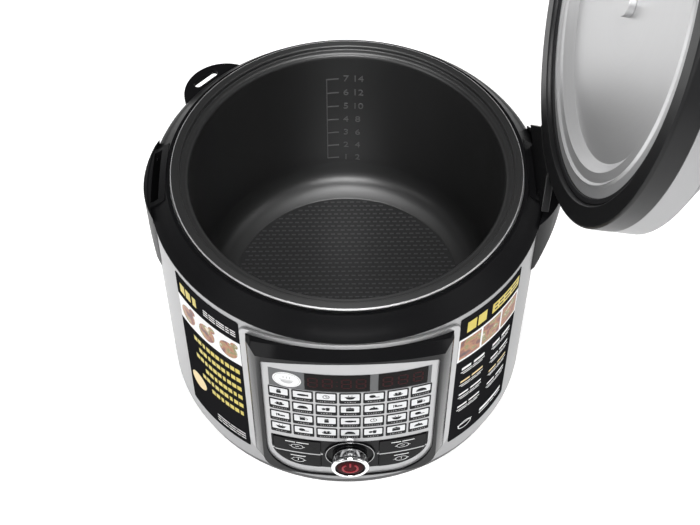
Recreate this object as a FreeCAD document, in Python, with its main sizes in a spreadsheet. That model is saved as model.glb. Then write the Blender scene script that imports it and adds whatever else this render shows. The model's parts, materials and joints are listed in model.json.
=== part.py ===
import FreeCAD
import Part
import Sketcher
import os
import re

# Electric pressure cooker, open, with its lid parked in the right handle's slot.
# Millimetres, +Z up, front towards -Y, origin on the table under the pot's axis.

SIZES = (
    # Body, base and feet
    ("body_margin", 14.9, "outside of the metal shell beyond the pot's rim"),
    ("shell_wall", 1.0, "sheet of the shell"),
    ("base_height", 13.0, "lower edge of the shell above the table"),
    ("base_taper", 2.9, "base tray's underside in from the shell"),
    ("base_step", 0.5, "how far the tray stands in from the shell"),
    ("base_floor", 2.5, "floor of the base tray"),
    ("base_wall", 2.4, "wall of the base tray"),
    ("spigot", 7.0, "height of the lips that slip into the shell"),
    ("foot_height", 3.3, "rubber foot below the tray"),
    ("foot_radius", 10.0, "rubber foot"),
    ("foot_inset", 27.4, "middle of the feet in from the shell"),
    ("fit_gap", 0.2, "gap between fixed pieces that slip together"),
    ("move_gap", 0.4, "gap round a piece that moves"),
    # Inner pot
    ("pot_lift", 66.0, "underside of the cooking pot above the table"),
    ("pot_radius", 110.0, "inside of the cooking pot"),
    ("pot_wall", 2.0, "wall of the cooking pot"),
    ("pot_floor", 3.0, "floor of the cooking pot"),
    ("pot_depth", 143.0, "inside depth of the cooking pot"),
    ("pot_corner", 22.0, "inside round between wall and floor"),
    ("pot_rim_width", 12.5, "pot's rim beyond its inside"),
    ("pot_rim_sheet", 2.0, "thickness of the pot's rim"),
    ("pot_rim_round", 0.8, "rounded edges of the pot's rim"),
    ("pot_shoulder_width", 6.3, "step in the rim beyond the pot's inside"),
    ("pot_shoulder_drop", 3.2, "depth of the step in the rim"),
    ("pot_shoulder_round", 4.0, "rounded edge between the step and the pot's inside"),
    # Outer pot
    ("liner_gap", 2.2, "gap between the two pots"),
    ("liner_wall", 1.0, "sheet of the outer pot"),
    ("liner_flange_margin", 2.3, "rim of the outer pot beyond the cooking pot's rim"),
    ("liner_flange_drop", 6.0, "outer pot's rim below the cooking pot's rim"),
    ("heater_room", 23.0, "underside of the outer pot below the cooking pot"),
    ("liner_hole", 14.0, "hole for the sensor in the outer pot"),
    # Top ring
    ("ring_overhang", 0.7, "outside of the top ring beyond the shell"),
    ("ring_gap", 0.7, "inside edge of the top ring beyond the pot's rim"),
    ("ring_drop", 16.6, "ring's lower edge below the pot's rim"),
    ("ring_ridge_drop", 11.4, "ridge on the ring below the pot's rim"),
    ("ring_slope", 3.7, "ridge in from the ring's outside"),
    ("ring_crown_drop", 2.6, "ring's inner crest below the pot's rim"),
    ("ring_wall", 2.6, "wall of the ring's lip inside the shell"),
    ("ring_bevel", 1.2, "bevels on the ring's edges"),
    ("ring_shelf_drop", 13.6, "ring's underside below the pot's rim"),
    # Handles
    ("handle_ridge_drop", 11.0, "ridge on a handle below the pot's rim"),
    ("handle_half", 26.0, "half width of the insert in the ring"),
    ("handle_inset", 1.9, "inner face of the insert in the ring's inner edge"),
    ("left_bulge", 4.3, "outermost point of the left handle beyond the ring"),
    ("left_curve", 78.0, "round of the left handle seen from above"),
    ("right_bulge", 13.9, "outermost point of the right handle beyond the ring"),
    ("right_curve", 60.0, "round of the right handle seen from above"),
    ("handle_grip_drop", 62.0, "lower end of the grip below the pot's rim"),
    ("handle_toe", 2.0, "thickness of the grip at its lower end"),
    ("slot_inset", 3.7, "middle of the lid slot in from the shell"),
    ("slot_length", 45.0, "lid slot along the handle"),
    ("slot_depth", 17.5, "lid slot below the ring's top"),
    ("slot_floor", 2.6, "material under the lid slot"),
    # Spoon holder
    ("loop_bulge", 17.6, "outermost point of the spoon loop beyond the shell"),
    ("loop_curve", 30.0, "round of the spoon loop"),
    ("loop_sheet", 4.5, "height of the spoon loop"),
    ("loop_drop", 17.4, "top of the spoon loop below the pot's rim"),
    ("loop_angle", 135.5, "bearing of the spoon loop from +X"),
    ("loop_hole_width", 6.0, "hole in the spoon loop"),
    ("loop_hole_length", 22.0, "hole in the spoon loop"),
    ("loop_hole_offset", 8.0, "middle of the hole beyond the shell"),
    # Heater and sensor
    ("plate_sheet", 10.0, "heating plate"),
    ("plate_hole", 16.0, "hole for the sensor in the heating plate"),
    ("plate_round", 2.5, "heating plate's upper edge"),
    ("plate_leg_radius", 5.0, "legs of the heating plate"),
    ("plate_leg_inset", 10.0, "legs in from the heating plate's edge"),
    ("element_inset", 26.0, "heating tube's ring in from the heating plate's edge"),
    ("element_radius", 3.5, "heating tube"),
    ("terminal_radius", 2.4, "heating tube's terminals"),
    ("terminal_drop", 9.0, "terminals below the outer pot"),
    ("terminal_spread", 20.0, "half of the distance between the terminals"),
    ("sensor_radius", 13.0, "sensor cap"),
    ("sensor_height", 12.0, "sensor cap"),
    ("sensor_sheet", 1.5, "sensor cap"),
    ("sensor_stem_radius", 4.0, "sensor stem"),
    ("sensor_stem_drop", 10.0, "sensor stem below the outer pot"),
    ("spring_inner_radius", 6.5, "sensor spring"),
    ("spring_wire", 2.0, "sensor spring"),
    ("bracket_radius", 24.0, "sensor bracket"),
    ("bracket_sheet", 2.0, "sensor bracket"),
    ("bracket_drop", 4.0, "sensor bracket below the outer pot"),
    ("fuse_radius", 4.0, "thermal fuse"),
    ("fuse_length", 22.0, "thermal fuse"),
    ("fuse_distance", 48.0, "thermal fuse from the pot's axis"),
    ("switch_width", 26.0, "pressure switch"),
    ("switch_depth", 14.0, "pressure switch"),
    ("switch_height", 15.0, "pressure switch"),
    ("switch_distance", 66.0, "pressure switch from the pot's axis"),
    # Power board and mains inlet
    ("board_sheet", 1.6, "circuit boards"),
    ("power_board_width", 84.0, "power board"),
    ("power_board_depth", 54.0, "power board"),
    ("power_board_lift", 8.0, "power board above the tray's floor"),
    ("power_board_distance", 62.0, "power board's middle behind the pot's axis"),
    ("board_post_radius", 4.0, "posts under the circuit boards"),
    ("board_edge", 5.0, "board screws in from the board's edge"),
    ("screw_radius", 1.4, "board screws"),
    ("screw_head_radius", 3.0, "board screws"),
    ("screw_head_height", 2.0, "board screws"),
    ("screw_length", 6.0, "board screws below the head"),
    ("transformer_size", 26.0, "transformer's plan"),
    ("transformer_height", 20.0, "transformer"),
    ("relay_width", 20.0, "relay"),
    ("relay_depth", 16.0, "relay"),
    ("relay_height", 16.0, "relay"),
    ("inlet_width", 34.0, "mains inlet's body"),
    ("inlet_height", 26.0, "mains inlet's body"),
    ("inlet_middle", 36.0, "middle of the mains inlet above the table"),
    ("inlet_length", 20.0, "mains inlet inside the shell"),
    ("inlet_lip", 4.0, "mains inlet's flange round its body"),
    ("inlet_flange", 2.0, "mains inlet's flange"),
    ("inlet_socket_width", 24.5, "socket in the mains inlet"),
    ("inlet_socket_height", 16.5, "socket in the mains inlet"),
    ("inlet_socket_depth", 16.0, "socket in the mains inlet"),
    ("inlet_pin_width", 2.0, "pins of the mains inlet"),
    ("inlet_pin_height", 4.0, "pins of the mains inlet"),
    ("inlet_pin_length", 13.0, "pins of the mains inlet"),
    ("inlet_pin_pitch", 7.0, "pins of the mains inlet"),
    ("inlet_pin_rise", 2.5, "middle pin above the inlet's middle, outer pins below it"),
    # Control panel
    ("trim_half", 73.2, "half width of the silver trim"),
    ("trim_bottom", 20.5, "lower edge of the trim above the table"),
    ("trim_top_drop", 17.2, "crown of the trim below the pot's rim"),
    ("trim_sheet", 1.5, "trim on the shell"),
    ("trim_width", 4.5, "trim round the frame"),
    ("panel_flatness", 52.0, "axis of the panel's curve behind the pot's axis"),
    ("panel_arch", 6.5, "rise of the panel's arched top"),
    ("face_arch", 9.0, "rise of the faceplate's arched top"),
    ("panel_corner", 20.0, "rounded lower corners of the panel"),
    ("trim_corner", 8.0, "rounded upper corners of the trim"),
    ("frame_proud", 7.6, "front of the panel frame beyond the shell"),
    ("frame_bevel", 6.5, "bevel round the panel frame"),
    ("face_half", 59.5, "half width of the faceplate"),
    ("face_bottom", 32.5, "lower edge of the faceplate above the table"),
    ("face_top_drop", 30.6, "crown of the faceplate below the pot's rim"),
    ("face_corner", 28.0, "rounded lower corners of the faceplate"),
    ("face_top_corner", 2.0, "rounded upper corners of the faceplate"),
    ("face_recess", 1.5, "faceplate behind the front of the panel frame"),
    ("face_sheet", 1.5, "faceplate"),
    ("panel_hole_half", 40.0, "hole behind the faceplate, half width"),
    ("panel_hole_margin", 4.0, "hole behind the faceplate below the lowest tiles"),
    ("panel_hole_drop", 11.0, "hole behind the faceplate below the faceplate's crown"),
    ("shell_hole_half", 52.0, "hole in the shell behind the panel, half width"),
    ("shell_hole_lift", 13.5, "hole in the shell above the faceplate's lower edge"),
    ("shell_hole_drop", 7.0, "hole in the shell below the faceplate's crown"),
    ("lens_sheet", 0.4, "windows and tiles on the faceplate"),
    ("window_drop", 15.0, "display windows below the faceplate's crown"),
    ("window_height", 19.9, "display windows"),
    ("window_gap", 2.3, "display windows above the highest tiles"),
    ("window_left", -30.5, "left edge of the time window"),
    ("window_split", 13.2, "right edge of the time window"),
    ("window_divider", 5.6, "gap between the two windows"),
    ("window_right", 52.0, "right edge of the temperature window"),
    ("tile_width", 14.8, "programme tile"),
    ("tile_gap", 2.6, "programme tiles, gap between two rows"),
    ("tile_pitch", 16.25, "programme tiles along the faceplate, one to the next"),
    ("tile_margin", 6.6, "lowest tiles above the function keys"),
    ("key_inner", 21.0, "function keys, edge beside the knob"),
    ("key_margin", 5.0, "function keys in from the faceplate's sides"),
    ("key_lift", 9.9, "function keys above the faceplate's lower edge"),
    ("key_height", 16.6, "function keys"),
    ("key_gap", 2.2, "gap between two rows of function keys"),
    ("key_proud", 0.8, "function keys in front of the faceplate"),
    ("key_sheet", 1.5, "function keys"),
    ("knob_height", 62.0, "knob's axis above the table"),
    ("knob_radius", 13.6, "knob"),
    ("knob_length", 12.5, "knob"),
    ("knob_edge", 0.9, "knob's rounded edges"),
    ("knob_cup_radius", 10.8, "cup for the button in the knob"),
    ("knob_cup_depth", 5.5, "cup for the button in the knob"),
    ("button_height", 4.3, "button in the knob"),
    ("button_lift", 1.0, "button above the floor of its cup"),
    ("dish_radius", 18.0, "dish round the knob"),
    ("dish_wall", 1.3, "dish round the knob"),
    ("dish_height", 2.4, "dish round the knob"),
    ("dish_floor", 1.0, "dish round the knob"),
    ("shaft_radius", 3.0, "encoder shaft"),
    ("shaft_gap", 0.06, "running gap round the encoder shaft"),
    ("encoder_size", 12.0, "encoder"),
    ("encoder_height", 7.0, "encoder"),
    ("control_board_half", 48.0, "control board, half width"),
    ("control_board_lift", 14.0, "control board above the faceplate's lower edge"),
    ("control_board_drop", 13.0, "control board below the faceplate's crown"),
    ("control_board_inset", 11.8, "control board's front in from the shell"),
    ("display_half", 34.0, "display module, half width"),
    ("display_depth", 6.5, "display module"),
    ("stalk_radius", 2.6, "switch stalks behind the function keys"),
    ("stalk_gap", 0.9, "switch stalks short of the keys"),
    # Lid
    ("lid_lean", 12.0, "degrees that the parked lid leans outwards"),
    ("lid_overhang", 3.6, "outside of the lid beyond the shell"),
    ("lid_gap", 19.0, "parked lid's edge above the ring"),
    ("skirt_height", 15.0, "lid's plastic skirt"),
    ("skirt_sheet", 9.0, "lid's plastic skirt"),
    ("skirt_wall", 2.5, "lid's plastic skirt"),
    ("skirt_round", 1.5, "lid's plastic skirt"),
    ("band_height", 16.0, "lid's steel band"),
    ("band_wall", 1.4, "lid's steel band"),
    ("cover_height", 55.0, "top of the lid's cover above its lower edge"),
    ("cover_wall", 2.5, "lid's cover"),
    ("cover_shoulder_inset", 19.0, "lid cover's shoulder in from the lid's edge"),
    ("cover_shoulder_drop", 8.0, "lid cover's shoulder below its top"),
    ("cover_flat_inset", 61.0, "lid cover's flat top in from the lid's edge"),
    ("cover_round", 15.0, "rounds on the lid's cover"),
    ("pressure_lid_base", 12.5, "pressure lid above the lid's lower edge"),
    ("pressure_lid_sheet", 2.0, "pressure lid"),
    ("pressure_lid_wall", 2.4, "pressure lid"),
    ("inner_lid_margin", 12.0, "inner lid beyond the inside of the pot"),
    ("inner_lid_base", 4.0, "inner lid's rim above the lid's lower edge"),
    ("inner_lid_rise", 6.0, "inner lid's middle above its rim"),
    ("inner_lid_sheet", 1.2, "inner lid"),
    ("inner_lid_flange", 16.0, "step in the inner lid in from its edge"),
    ("inner_lid_bead_inset", 8.0, "raised bead in from the inner lid's edge"),
    ("inner_lid_bead_radius", 1.6, "raised bead on the inner lid"),
    ("seal_width", 4.0, "room for the sealing ring between inner lid and skirt"),
    ("seal_height", 6.0, "sealing ring"),
    ("nut_radius", 10.0, "nut that holds the inner lid"),
    ("nut_height", 5.0, "nut that holds the inner lid"),
    ("stud_radius", 4.0, "stud that holds the inner lid"),
    ("valve_offset", 48.0, "steam valve from the lid's middle"),
    ("stem_radius", 4.5, "steam stem"),
    ("stem_bore", 2.0, "steam stem"),
    ("stem_proud", 8.0, "steam stem above the cover"),
    ("valve_radius", 15.0, "steam valve"),
    ("valve_height", 20.0, "steam valve"),
    ("valve_lift", 2.0, "steam valve above the cover"),
    ("valve_roof", 10.0, "steam valve above its bore"),
    ("valve_wing", 22.0, "steam valve's wings from its axis"),
    ("valve_wing_width", 11.0, "steam valve's wings"),
    ("shield_radius", 11.0, "shield under the steam stem"),
    ("shield_height", 6.0, "shield under the steam stem"),
    ("shield_wall", 1.2, "shield under the steam stem"),
    ("float_offset", 36.0, "float valve beside the steam valve"),
    ("float_radius", 3.0, "float valve's pin"),
    ("float_flange", 6.0, "float valve's flange"),
    ("float_flange_sheet", 2.0, "float valve's flange"),
    ("float_tail", 2.0, "float valve's pin below its flange"),
    ("lid_handle_half", 58.0, "lid handle, half length"),
    ("lid_handle_width", 28.0, "lid handle"),
    ("lid_handle_sheet", 12.0, "lid handle's bar"),
    ("lid_handle_leg", 20.0, "lid handle's legs"),
    ("lid_handle_room", 24.0, "finger room under the lid handle"),
    ("lid_handle_round", 4.0, "lid handle's edges"),
    ("fin_width", 44.0, "tab that parks the lid"),
    ("fin_shoulder", 80.0, "tab's shoulders over the ring"),
    ("fin_shoulder_gap", 1.0, "tab's shoulders above the ring"),
    ("fin_sheet", 5.6, "tab that parks the lid"),
    ("fin_base", 0.4, "tab above the lid's lower edge"),
    ("fin_bottom_gap", 0.6, "tab above the slot's floor"),
)

DERIVED = (
    ("rim_height", "pot_lift + pot_floor + pot_depth"),
    ("pot_rim_radius", "pot_radius + pot_rim_width"),
    ("pot_shoulder_radius", "pot_radius + pot_shoulder_width"),
    ("liner_radius", "pot_radius + pot_wall + liner_gap"),
    ("liner_flange_radius", "pot_rim_radius + liner_flange_margin"),
    ("liner_bottom", "pot_lift - heater_room"),
    ("body_radius", "pot_rim_radius + body_margin"),
    ("base_lower_radius", "body_radius - base_taper"),
    ("foot_circle", "body_radius - foot_inset"),
    ("ring_radius", "body_radius + ring_overhang"),
    ("ring_inner_radius", "pot_rim_radius + ring_gap"),
    ("handle_inner", "ring_inner_radius + handle_inset"),
    ("left_reach", "ring_radius + left_bulge"),
    ("right_reach", "ring_radius + right_bulge"),
    ("slot_radius", "body_radius - slot_inset"),
    ("loop_reach", "body_radius + loop_bulge"),
    ("loop_hole_radius", "body_radius + loop_hole_offset"),
    ("plate_radius", "pot_radius - pot_corner"),
    ("plate_leg_circle", "plate_radius - plate_leg_inset"),
    ("element_circle", "plate_radius - element_inset"),
    ("shell_inner", "body_radius - shell_wall"),
    ("ring_bottom", "rim_height - ring_drop"),
    ("ring_ridge", "rim_height - ring_ridge_drop"),
    ("handle_ridge", "rim_height - handle_ridge_drop"),
    ("ring_crown", "rim_height - ring_crown_drop"),
    ("ring_shelf", "rim_height - ring_shelf_drop"),
    ("flange_top", "rim_height - liner_flange_drop"),
    ("spigot_radius", "shell_inner - fit_gap"),
    ("tray_top", "foot_height + base_floor"),
    ("plate_top", "pot_lift - move_gap"),
    ("plate_bottom", "plate_top - plate_sheet"),
    ("liner_floor", "liner_bottom + liner_wall"),
    ("sensor_top", "pot_lift - move_gap"),
    ("bracket_base", "liner_bottom - bracket_drop"),
    ("bracket_top", "bracket_base + bracket_sheet"),
    ("frame_seat", "body_radius + fit_gap"),
    ("frame_front_radius", "body_radius + frame_proud"),
    ("face_radius", "frame_front_radius - face_recess"),
    ("face_seat", "face_radius - face_sheet"),
    ("frame_half", "trim_half - trim_width"),
    ("frame_bottom", "trim_bottom + trim_width"),
    ("frame_top", "rim_height - trim_top_drop - trim_width"),
    ("trim_top", "rim_height - trim_top_drop"),
    ("face_top", "rim_height - face_top_drop"),
    ("key_first", "face_bottom + key_lift"),
    ("key_outer", "face_half - key_margin"),
    ("key_row", "key_height + key_gap"),
    ("tile_first", "key_first + key_row + key_height + tile_margin"),
    ("window_top", "face_top - window_drop"),
    ("window_bottom", "window_top - window_height"),
    ("tile_row", "(window_bottom - window_gap + tile_gap - tile_first) / 4"),
    ("tile_height", "tile_row - tile_gap"),
    ("tile_step", "tile_pitch / (face_radius + panel_flatness) * 180 / pi"),
    ("panel_hole_bottom", "tile_first - panel_hole_margin"),
    ("panel_hole_top", "face_top - panel_hole_drop"),
    ("shell_hole_bottom", "face_bottom + shell_hole_lift"),
    ("shell_hole_top", "face_top - shell_hole_drop"),
    ("control_board_bottom", "face_bottom + control_board_lift"),
    ("control_board_top", "face_top - control_board_drop"),
    ("control_board_front", "body_radius - control_board_inset"),
    ("outside", "frame_front_radius + knob_length"),
    ("dish_base", "face_seat + fit_gap / 2"),
    ("knob_base", "dish_base + dish_floor + move_gap"),
    ("key_back", "face_radius + key_proud - key_sheet"),
    ("slot_top", "rim_height - liner_flange_drop"),
    ("slot_bottom", "slot_top - slot_depth"),
    ("slot_width", "fin_sheet + 2 * move_gap"),
    ("lid_radius", "body_radius + lid_overhang"),
    ("inner_lid_radius", "pot_radius + inner_lid_margin"),
    ("inner_lid_step", "inner_lid_radius - inner_lid_flange"),
    ("inner_lid_bead", "inner_lid_radius - inner_lid_bead_inset"),
    ("skirt_inner_radius", "inner_lid_radius + seal_width"),
    ("cover_shoulder_radius", "lid_radius - cover_shoulder_inset"),
    ("cover_flat_radius", "lid_radius - cover_flat_inset"),
    ("fin_middle", "fin_base + fin_sheet / 2"),
    ("band_base", "skirt_height"),
    ("cover_base", "skirt_height + band_height"),
    ("inner_lid_top", "inner_lid_base + inner_lid_rise"),
    ("inner_lid_back", "inner_lid_top + inner_lid_sheet"),
    ("lid_middle_x", "slot_radius - fin_middle * cos(lid_lean) + (lid_radius + lid_gap) * sin(lid_lean)"),
    ("lid_middle_z", "slot_top + fin_middle * sin(lid_lean) + (lid_radius + lid_gap) * cos(lid_lean)"),
)

doc = FreeCAD.newDocument("pressure_cooker")
V = FreeCAD.Vector
X_AXIS, Y_AXIS, Z_AXIS = V(1, 0, 0), V(0, 1, 0), V(0, 0, 1)
TURN_TO_FRONT = (X_AXIS, "90")
NO_TURN = (Z_AXIS, "0")
NEAR = 0.001
SIZE_NAMES = {name for name, number, note in SIZES}
DERIVED_NAMES = {name for name, text in DERIVED}
nodes = []


# Sheets and expressions
def formula(text):
    """Put the sheet's name before each size in a plain formula."""
    def named(match):
        word = match.group(0)
        if word in SIZE_NAMES:
            return "Sizes." + word
        if word in DERIVED_NAMES:
            return "Derived." + word
        return word
    return re.sub(r"[a-z]\w*", named, str(text))


def fill_sheets():
    """Write the driving sizes, and below them the sizes that follow from these."""
    sizes = doc.addObject("Spreadsheet::Sheet", "Sizes")
    for row, (name, number, note) in enumerate(SIZES, start=1):
        sizes.set(f"A{row}", name)
        sizes.set(f"B{row}", str(number))
        sizes.set(f"C{row}", note)
        sizes.setAlias(f"B{row}", name)
    doc.recompute()
    derived = doc.addObject("Spreadsheet::Sheet", "Derived")
    for row, (name, text) in enumerate(DERIVED, start=1):
        derived.setAlias(f"B{row}", name)
    for row, (name, text) in enumerate(DERIVED, start=1):
        derived.set(f"A{row}", name)
        derived.set(f"B{row}", "=" + formula(text))
        doc.recompute()
    return sizes


sheet = fill_sheets()


def value(text):
    """The number that a formula of sizes has now."""
    return float(sheet.evalExpression(formula(text)))


def bind(thing, **expressions):
    """Bind properties of an object to formulas of sizes."""
    for name, text in expressions.items():
        thing.setExpression(name.replace("__", "."), formula(text))


def place(thing, x="0", y="0", z="0", turn=NO_TURN):
    """Turn and place an object, with its angle and its place bound to formulas of sizes."""
    axis, angle = turn
    thing.Placement = FreeCAD.Placement(V(value(x), value(y), value(z)), FreeCAD.Rotation(axis, value(angle)))
    bind(thing, Placement__Base__x=x, Placement__Base__y=y, Placement__Base__z=z)
    if turn != NO_TURN:
        bind(thing, Placement__Rotation__Angle=angle)
    return thing


def node(thing, label):
    """Keep an object as one of the cooker's pieces."""
    thing.Label = label
    nodes.append(thing)
    return thing


# Building blocks
def cylinder(radius, length, x="0", y="0", z="0", turn=NO_TURN):
    thing = doc.addObject("Part::Cylinder", "round")
    bind(thing, Radius=radius, Height=length)
    return place(thing, x, y, z, turn)


def box(x_low, x_high, y_low, y_high, z_low, z_high):
    thing = doc.addObject("Part::Box", "block")
    bind(
        thing,
        Length=f"({x_high}) - ({x_low})",
        Width=f"({y_high}) - ({y_low})",
        Height=f"({z_high}) - ({z_low})",
    )
    return place(thing, x_low, y_low, z_low)


def cut(base, *tools):
    for tool in tools:
        thing = doc.addObject("Part::Cut", "cut")
        thing.Base = base
        thing.Tool = tool
        base = thing
    return base


def fuse(*shapes):
    thing = doc.addObject("Part::MultiFuse", "joined")
    thing.Shapes = list(shapes)
    thing.Refine = True
    return thing


def common(base, tool):
    thing = doc.addObject("Part::Common", "shared")
    thing.Base = base
    thing.Tool = tool
    return thing


def group(*shapes):
    thing = doc.addObject("Part::Compound", "group")
    thing.Links = list(shapes)
    return thing


def tube(inner, outer, z_low, z_high):
    length = f"({z_high}) - ({z_low})"
    return cut(cylinder(outer, length, z=z_low), cylinder(inner, length, z=z_low))


def empty_sketch(body, plane):
    """A sketch on one of a body's own planes."""
    support = next(feature for feature in body.Origin.OriginFeatures if feature.Role == plane)
    sketch = body.newObject("Sketcher::SketchObject", "outline")
    sketch.AttachmentSupport = [(support, "")]
    sketch.MapMode = "FlatFace"
    return sketch


def outline_sketch(body, plane, points):
    """A closed outline of straight lines, each corner bound to two formulas."""
    sketch = empty_sketch(body, plane)
    corners = [V(value(across), value(up), 0) for across, up in points]
    count = len(points)
    for index in range(count):
        sketch.addGeometry(Part.LineSegment(corners[index], corners[(index + 1) % count]), False)
    for index in range(count):
        after = (index + 1) % count
        sketch.addConstraint(Sketcher.Constraint("Coincident", index, 2, after, 1))
    for index, (across, up) in enumerate(points):
        pin_corner(sketch, index, across, up)
    return sketch


def pin_corner(sketch, line, across, up, end=1):
    """Hold one end of a line, 1 its start and 2 its finish, at two formulas from the sketch's origin."""
    for kind, text in (("DistanceX", across), ("DistanceY", up)):
        number = sketch.addConstraint(Sketcher.Constraint(kind, -1, 1, line, end, value(text)))
        sketch.setExpression(f"Constraints[{number}]", formula(text))


def revolved(points, rounds=()):
    """A body turned round Z from an outline of (radius, height), with rounded circles.

    Each round is (radius of the circle, its height, radius of the round).
    """
    body = doc.addObject("PartDesign::Body", "turned")
    sketch = outline_sketch(body, "XZ_Plane", points)
    turned = body.newObject("PartDesign::Revolution", "turn")
    turned.Profile = sketch
    turned.ReferenceAxis = (sketch, ["V_Axis"])
    turned.Angle = 360
    doc.recompute()
    last = turned
    for radius, height, size in rounds:
        last = rounded_circle(body, last, value(radius), value(height), size)
    return body


def rounded_circle(body, base, radius, height, size):
    """Round the circular edge of a body that has this radius and height."""
    found = []
    for number, edge in enumerate(base.Shape.Edges, start=1):
        curve = edge.Curve
        if isinstance(curve, Part.Circle):
            if abs(curve.Radius - radius) < NEAR and abs(curve.Center.z - height) < NEAR:
                found.append(f"Edge{number}")
    rounding = body.newObject("PartDesign::Fillet", "rounding")
    rounding.Base = (base, found)
    bind(rounding, Radius=size)
    doc.recompute()
    return rounding


def arched_block(half_width, bottom, top, arch, corner, top_corner=None, grow="0"):
    """A block towards the front: a plate's outline with an arched top, round below and, if asked, above."""
    half, low = f"{half_width} + ({grow})", f"{bottom} - ({grow})"
    side, crown = f"{top} - {arch} + ({grow})", f"{top} + ({grow})"
    body = doc.addObject("PartDesign::Body", "arched")
    sketch = empty_sketch(body, "XZ_Plane")
    bottom_left = V(-value(half), value(low), 0)
    bottom_right = V(value(half), value(low), 0)
    top_right = V(value(half), value(side), 0)
    top_left = V(-value(half), value(side), 0)
    top_middle = V(0, value(crown), 0)
    sketch.addGeometry(Part.LineSegment(bottom_left, bottom_right), False)
    sketch.addGeometry(Part.LineSegment(bottom_right, top_right), False)
    sketch.addGeometry(Part.LineSegment(top_left, bottom_left), False)
    sketch.addGeometry(Part.Arc(top_right, top_middle, top_left), False)
    for first, second in ((0, 1), (1, 3), (3, 2), (2, 0)):
        sketch.addConstraint(Sketcher.Constraint("Coincident", first, 2, second, 1))
    pin_corner(sketch, 0, f"-({half})", low)
    pin_corner(sketch, 1, half, low)
    pin_corner(sketch, 2, f"-({half})", side)
    pin_corner(sketch, 1, half, side, end=2)
    radius = f"(({half}) * ({half}) + {arch} * {arch}) / (2 * {arch})"
    number = sketch.addConstraint(Sketcher.Constraint("Radius", 3, value(radius)))
    sketch.setExpression(f"Constraints[{number}]", formula(radius))
    pad = body.newObject("PartDesign::Pad", "pad")
    pad.Profile = sketch
    bind(pad, Length="outside")
    doc.recompute()
    last = pad
    corners = [(low, corner)]
    if top_corner:
        corners.append((side, top_corner))
    for height, radius in corners:
        long_edges = []
        for number, edge in enumerate(last.Shape.Edges, start=1):
            level = all(abs(vertex.Point.z - value(height)) < NEAR for vertex in edge.Vertexes)
            if level and isinstance(edge.Curve, Part.Line) and abs(edge.Curve.Direction.y) > 1 - NEAR:
                long_edges.append(f"Edge{number}")
        rounding = body.newObject("PartDesign::Fillet", "corners")
        rounding.Base = (last, long_edges)
        bind(rounding, Radius=f"{radius} + ({grow})")
        doc.recompute()
        last = rounding
    return body


def panel_ring(inner, outer):
    """A tall tube round the panel's axis, from which the panel's plates are cut.

    Both radii are those on the middle line of the front, measured from the pot's axis.
    """
    ring = tube(f"{inner} + panel_flatness", f"{outer} + panel_flatness", "0", "rim_height")
    return place(ring, y="panel_flatness")


def panel_reach(radius, x):
    """How far in front of the pot's axis the panel's curve lies at a distance across."""
    big = f"({radius} + panel_flatness)"
    return f"(sqrt({big} * {big} - ({x}) * ({x})) - panel_flatness)"


def curved_plate(x_low, x_high, z_low, z_high, inner, outer):
    """A plate on the panel, bent with it."""
    block = box(x_low, x_high, "-outside", "0", z_low, z_high)
    return common(block, panel_ring(inner, outer))


# Base, feet and shell
def build_base():
    tray = revolved((
        ("0", "foot_height"),
        ("base_lower_radius", "foot_height"),
        ("body_radius - base_step", "base_height"),
        ("spigot_radius", "base_height"),
        ("spigot_radius", "base_height + spigot"),
        ("spigot_radius - base_wall", "base_height + spigot"),
        ("spigot_radius - base_wall", "tray_top"),
        ("0", "tray_top"),
    ))
    posts = []
    pilots = []
    for x, y in power_board_corners():
        posts.append(cylinder("board_post_radius", "power_board_lift", x, y, "tray_top"))
        pilots.append(cylinder("screw_radius", "power_board_lift", x, y, "tray_top"))
    inlet_half = "inlet_width / 2 + fit_gap"
    room = box(f"-({inlet_half})", inlet_half, "0", "outside",
               "inlet_middle - inlet_height / 2 - fit_gap", "rim_height")
    node(cut(fuse(tray, *posts), *pilots, room), "base_tray")
    feet = []
    for x_side in ("", "-"):
        for y_side in ("", "-"):
            x = f"{x_side}foot_circle * cos(45)"
            y = f"{y_side}foot_circle * sin(45)"
            feet.append(cylinder("foot_radius", "foot_height", x, y, "0"))
    node(group(*feet), "rubber_feet")


def build_shell():
    sleeve = tube("shell_inner", "body_radius", "base_height", "ring_bottom")
    panel_hole = box("-shell_hole_half", "shell_hole_half", "-outside", "0",
                     "shell_hole_bottom", "shell_hole_top")
    half = "inlet_width / 2 + fit_gap"
    inlet_hole = box(f"-({half})", half, "0", "outside",
                     "inlet_middle - inlet_height / 2 - fit_gap",
                     "inlet_middle + inlet_height / 2 + fit_gap")
    node(cut(sleeve, panel_hole, inlet_hole), "outer_shell")


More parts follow.
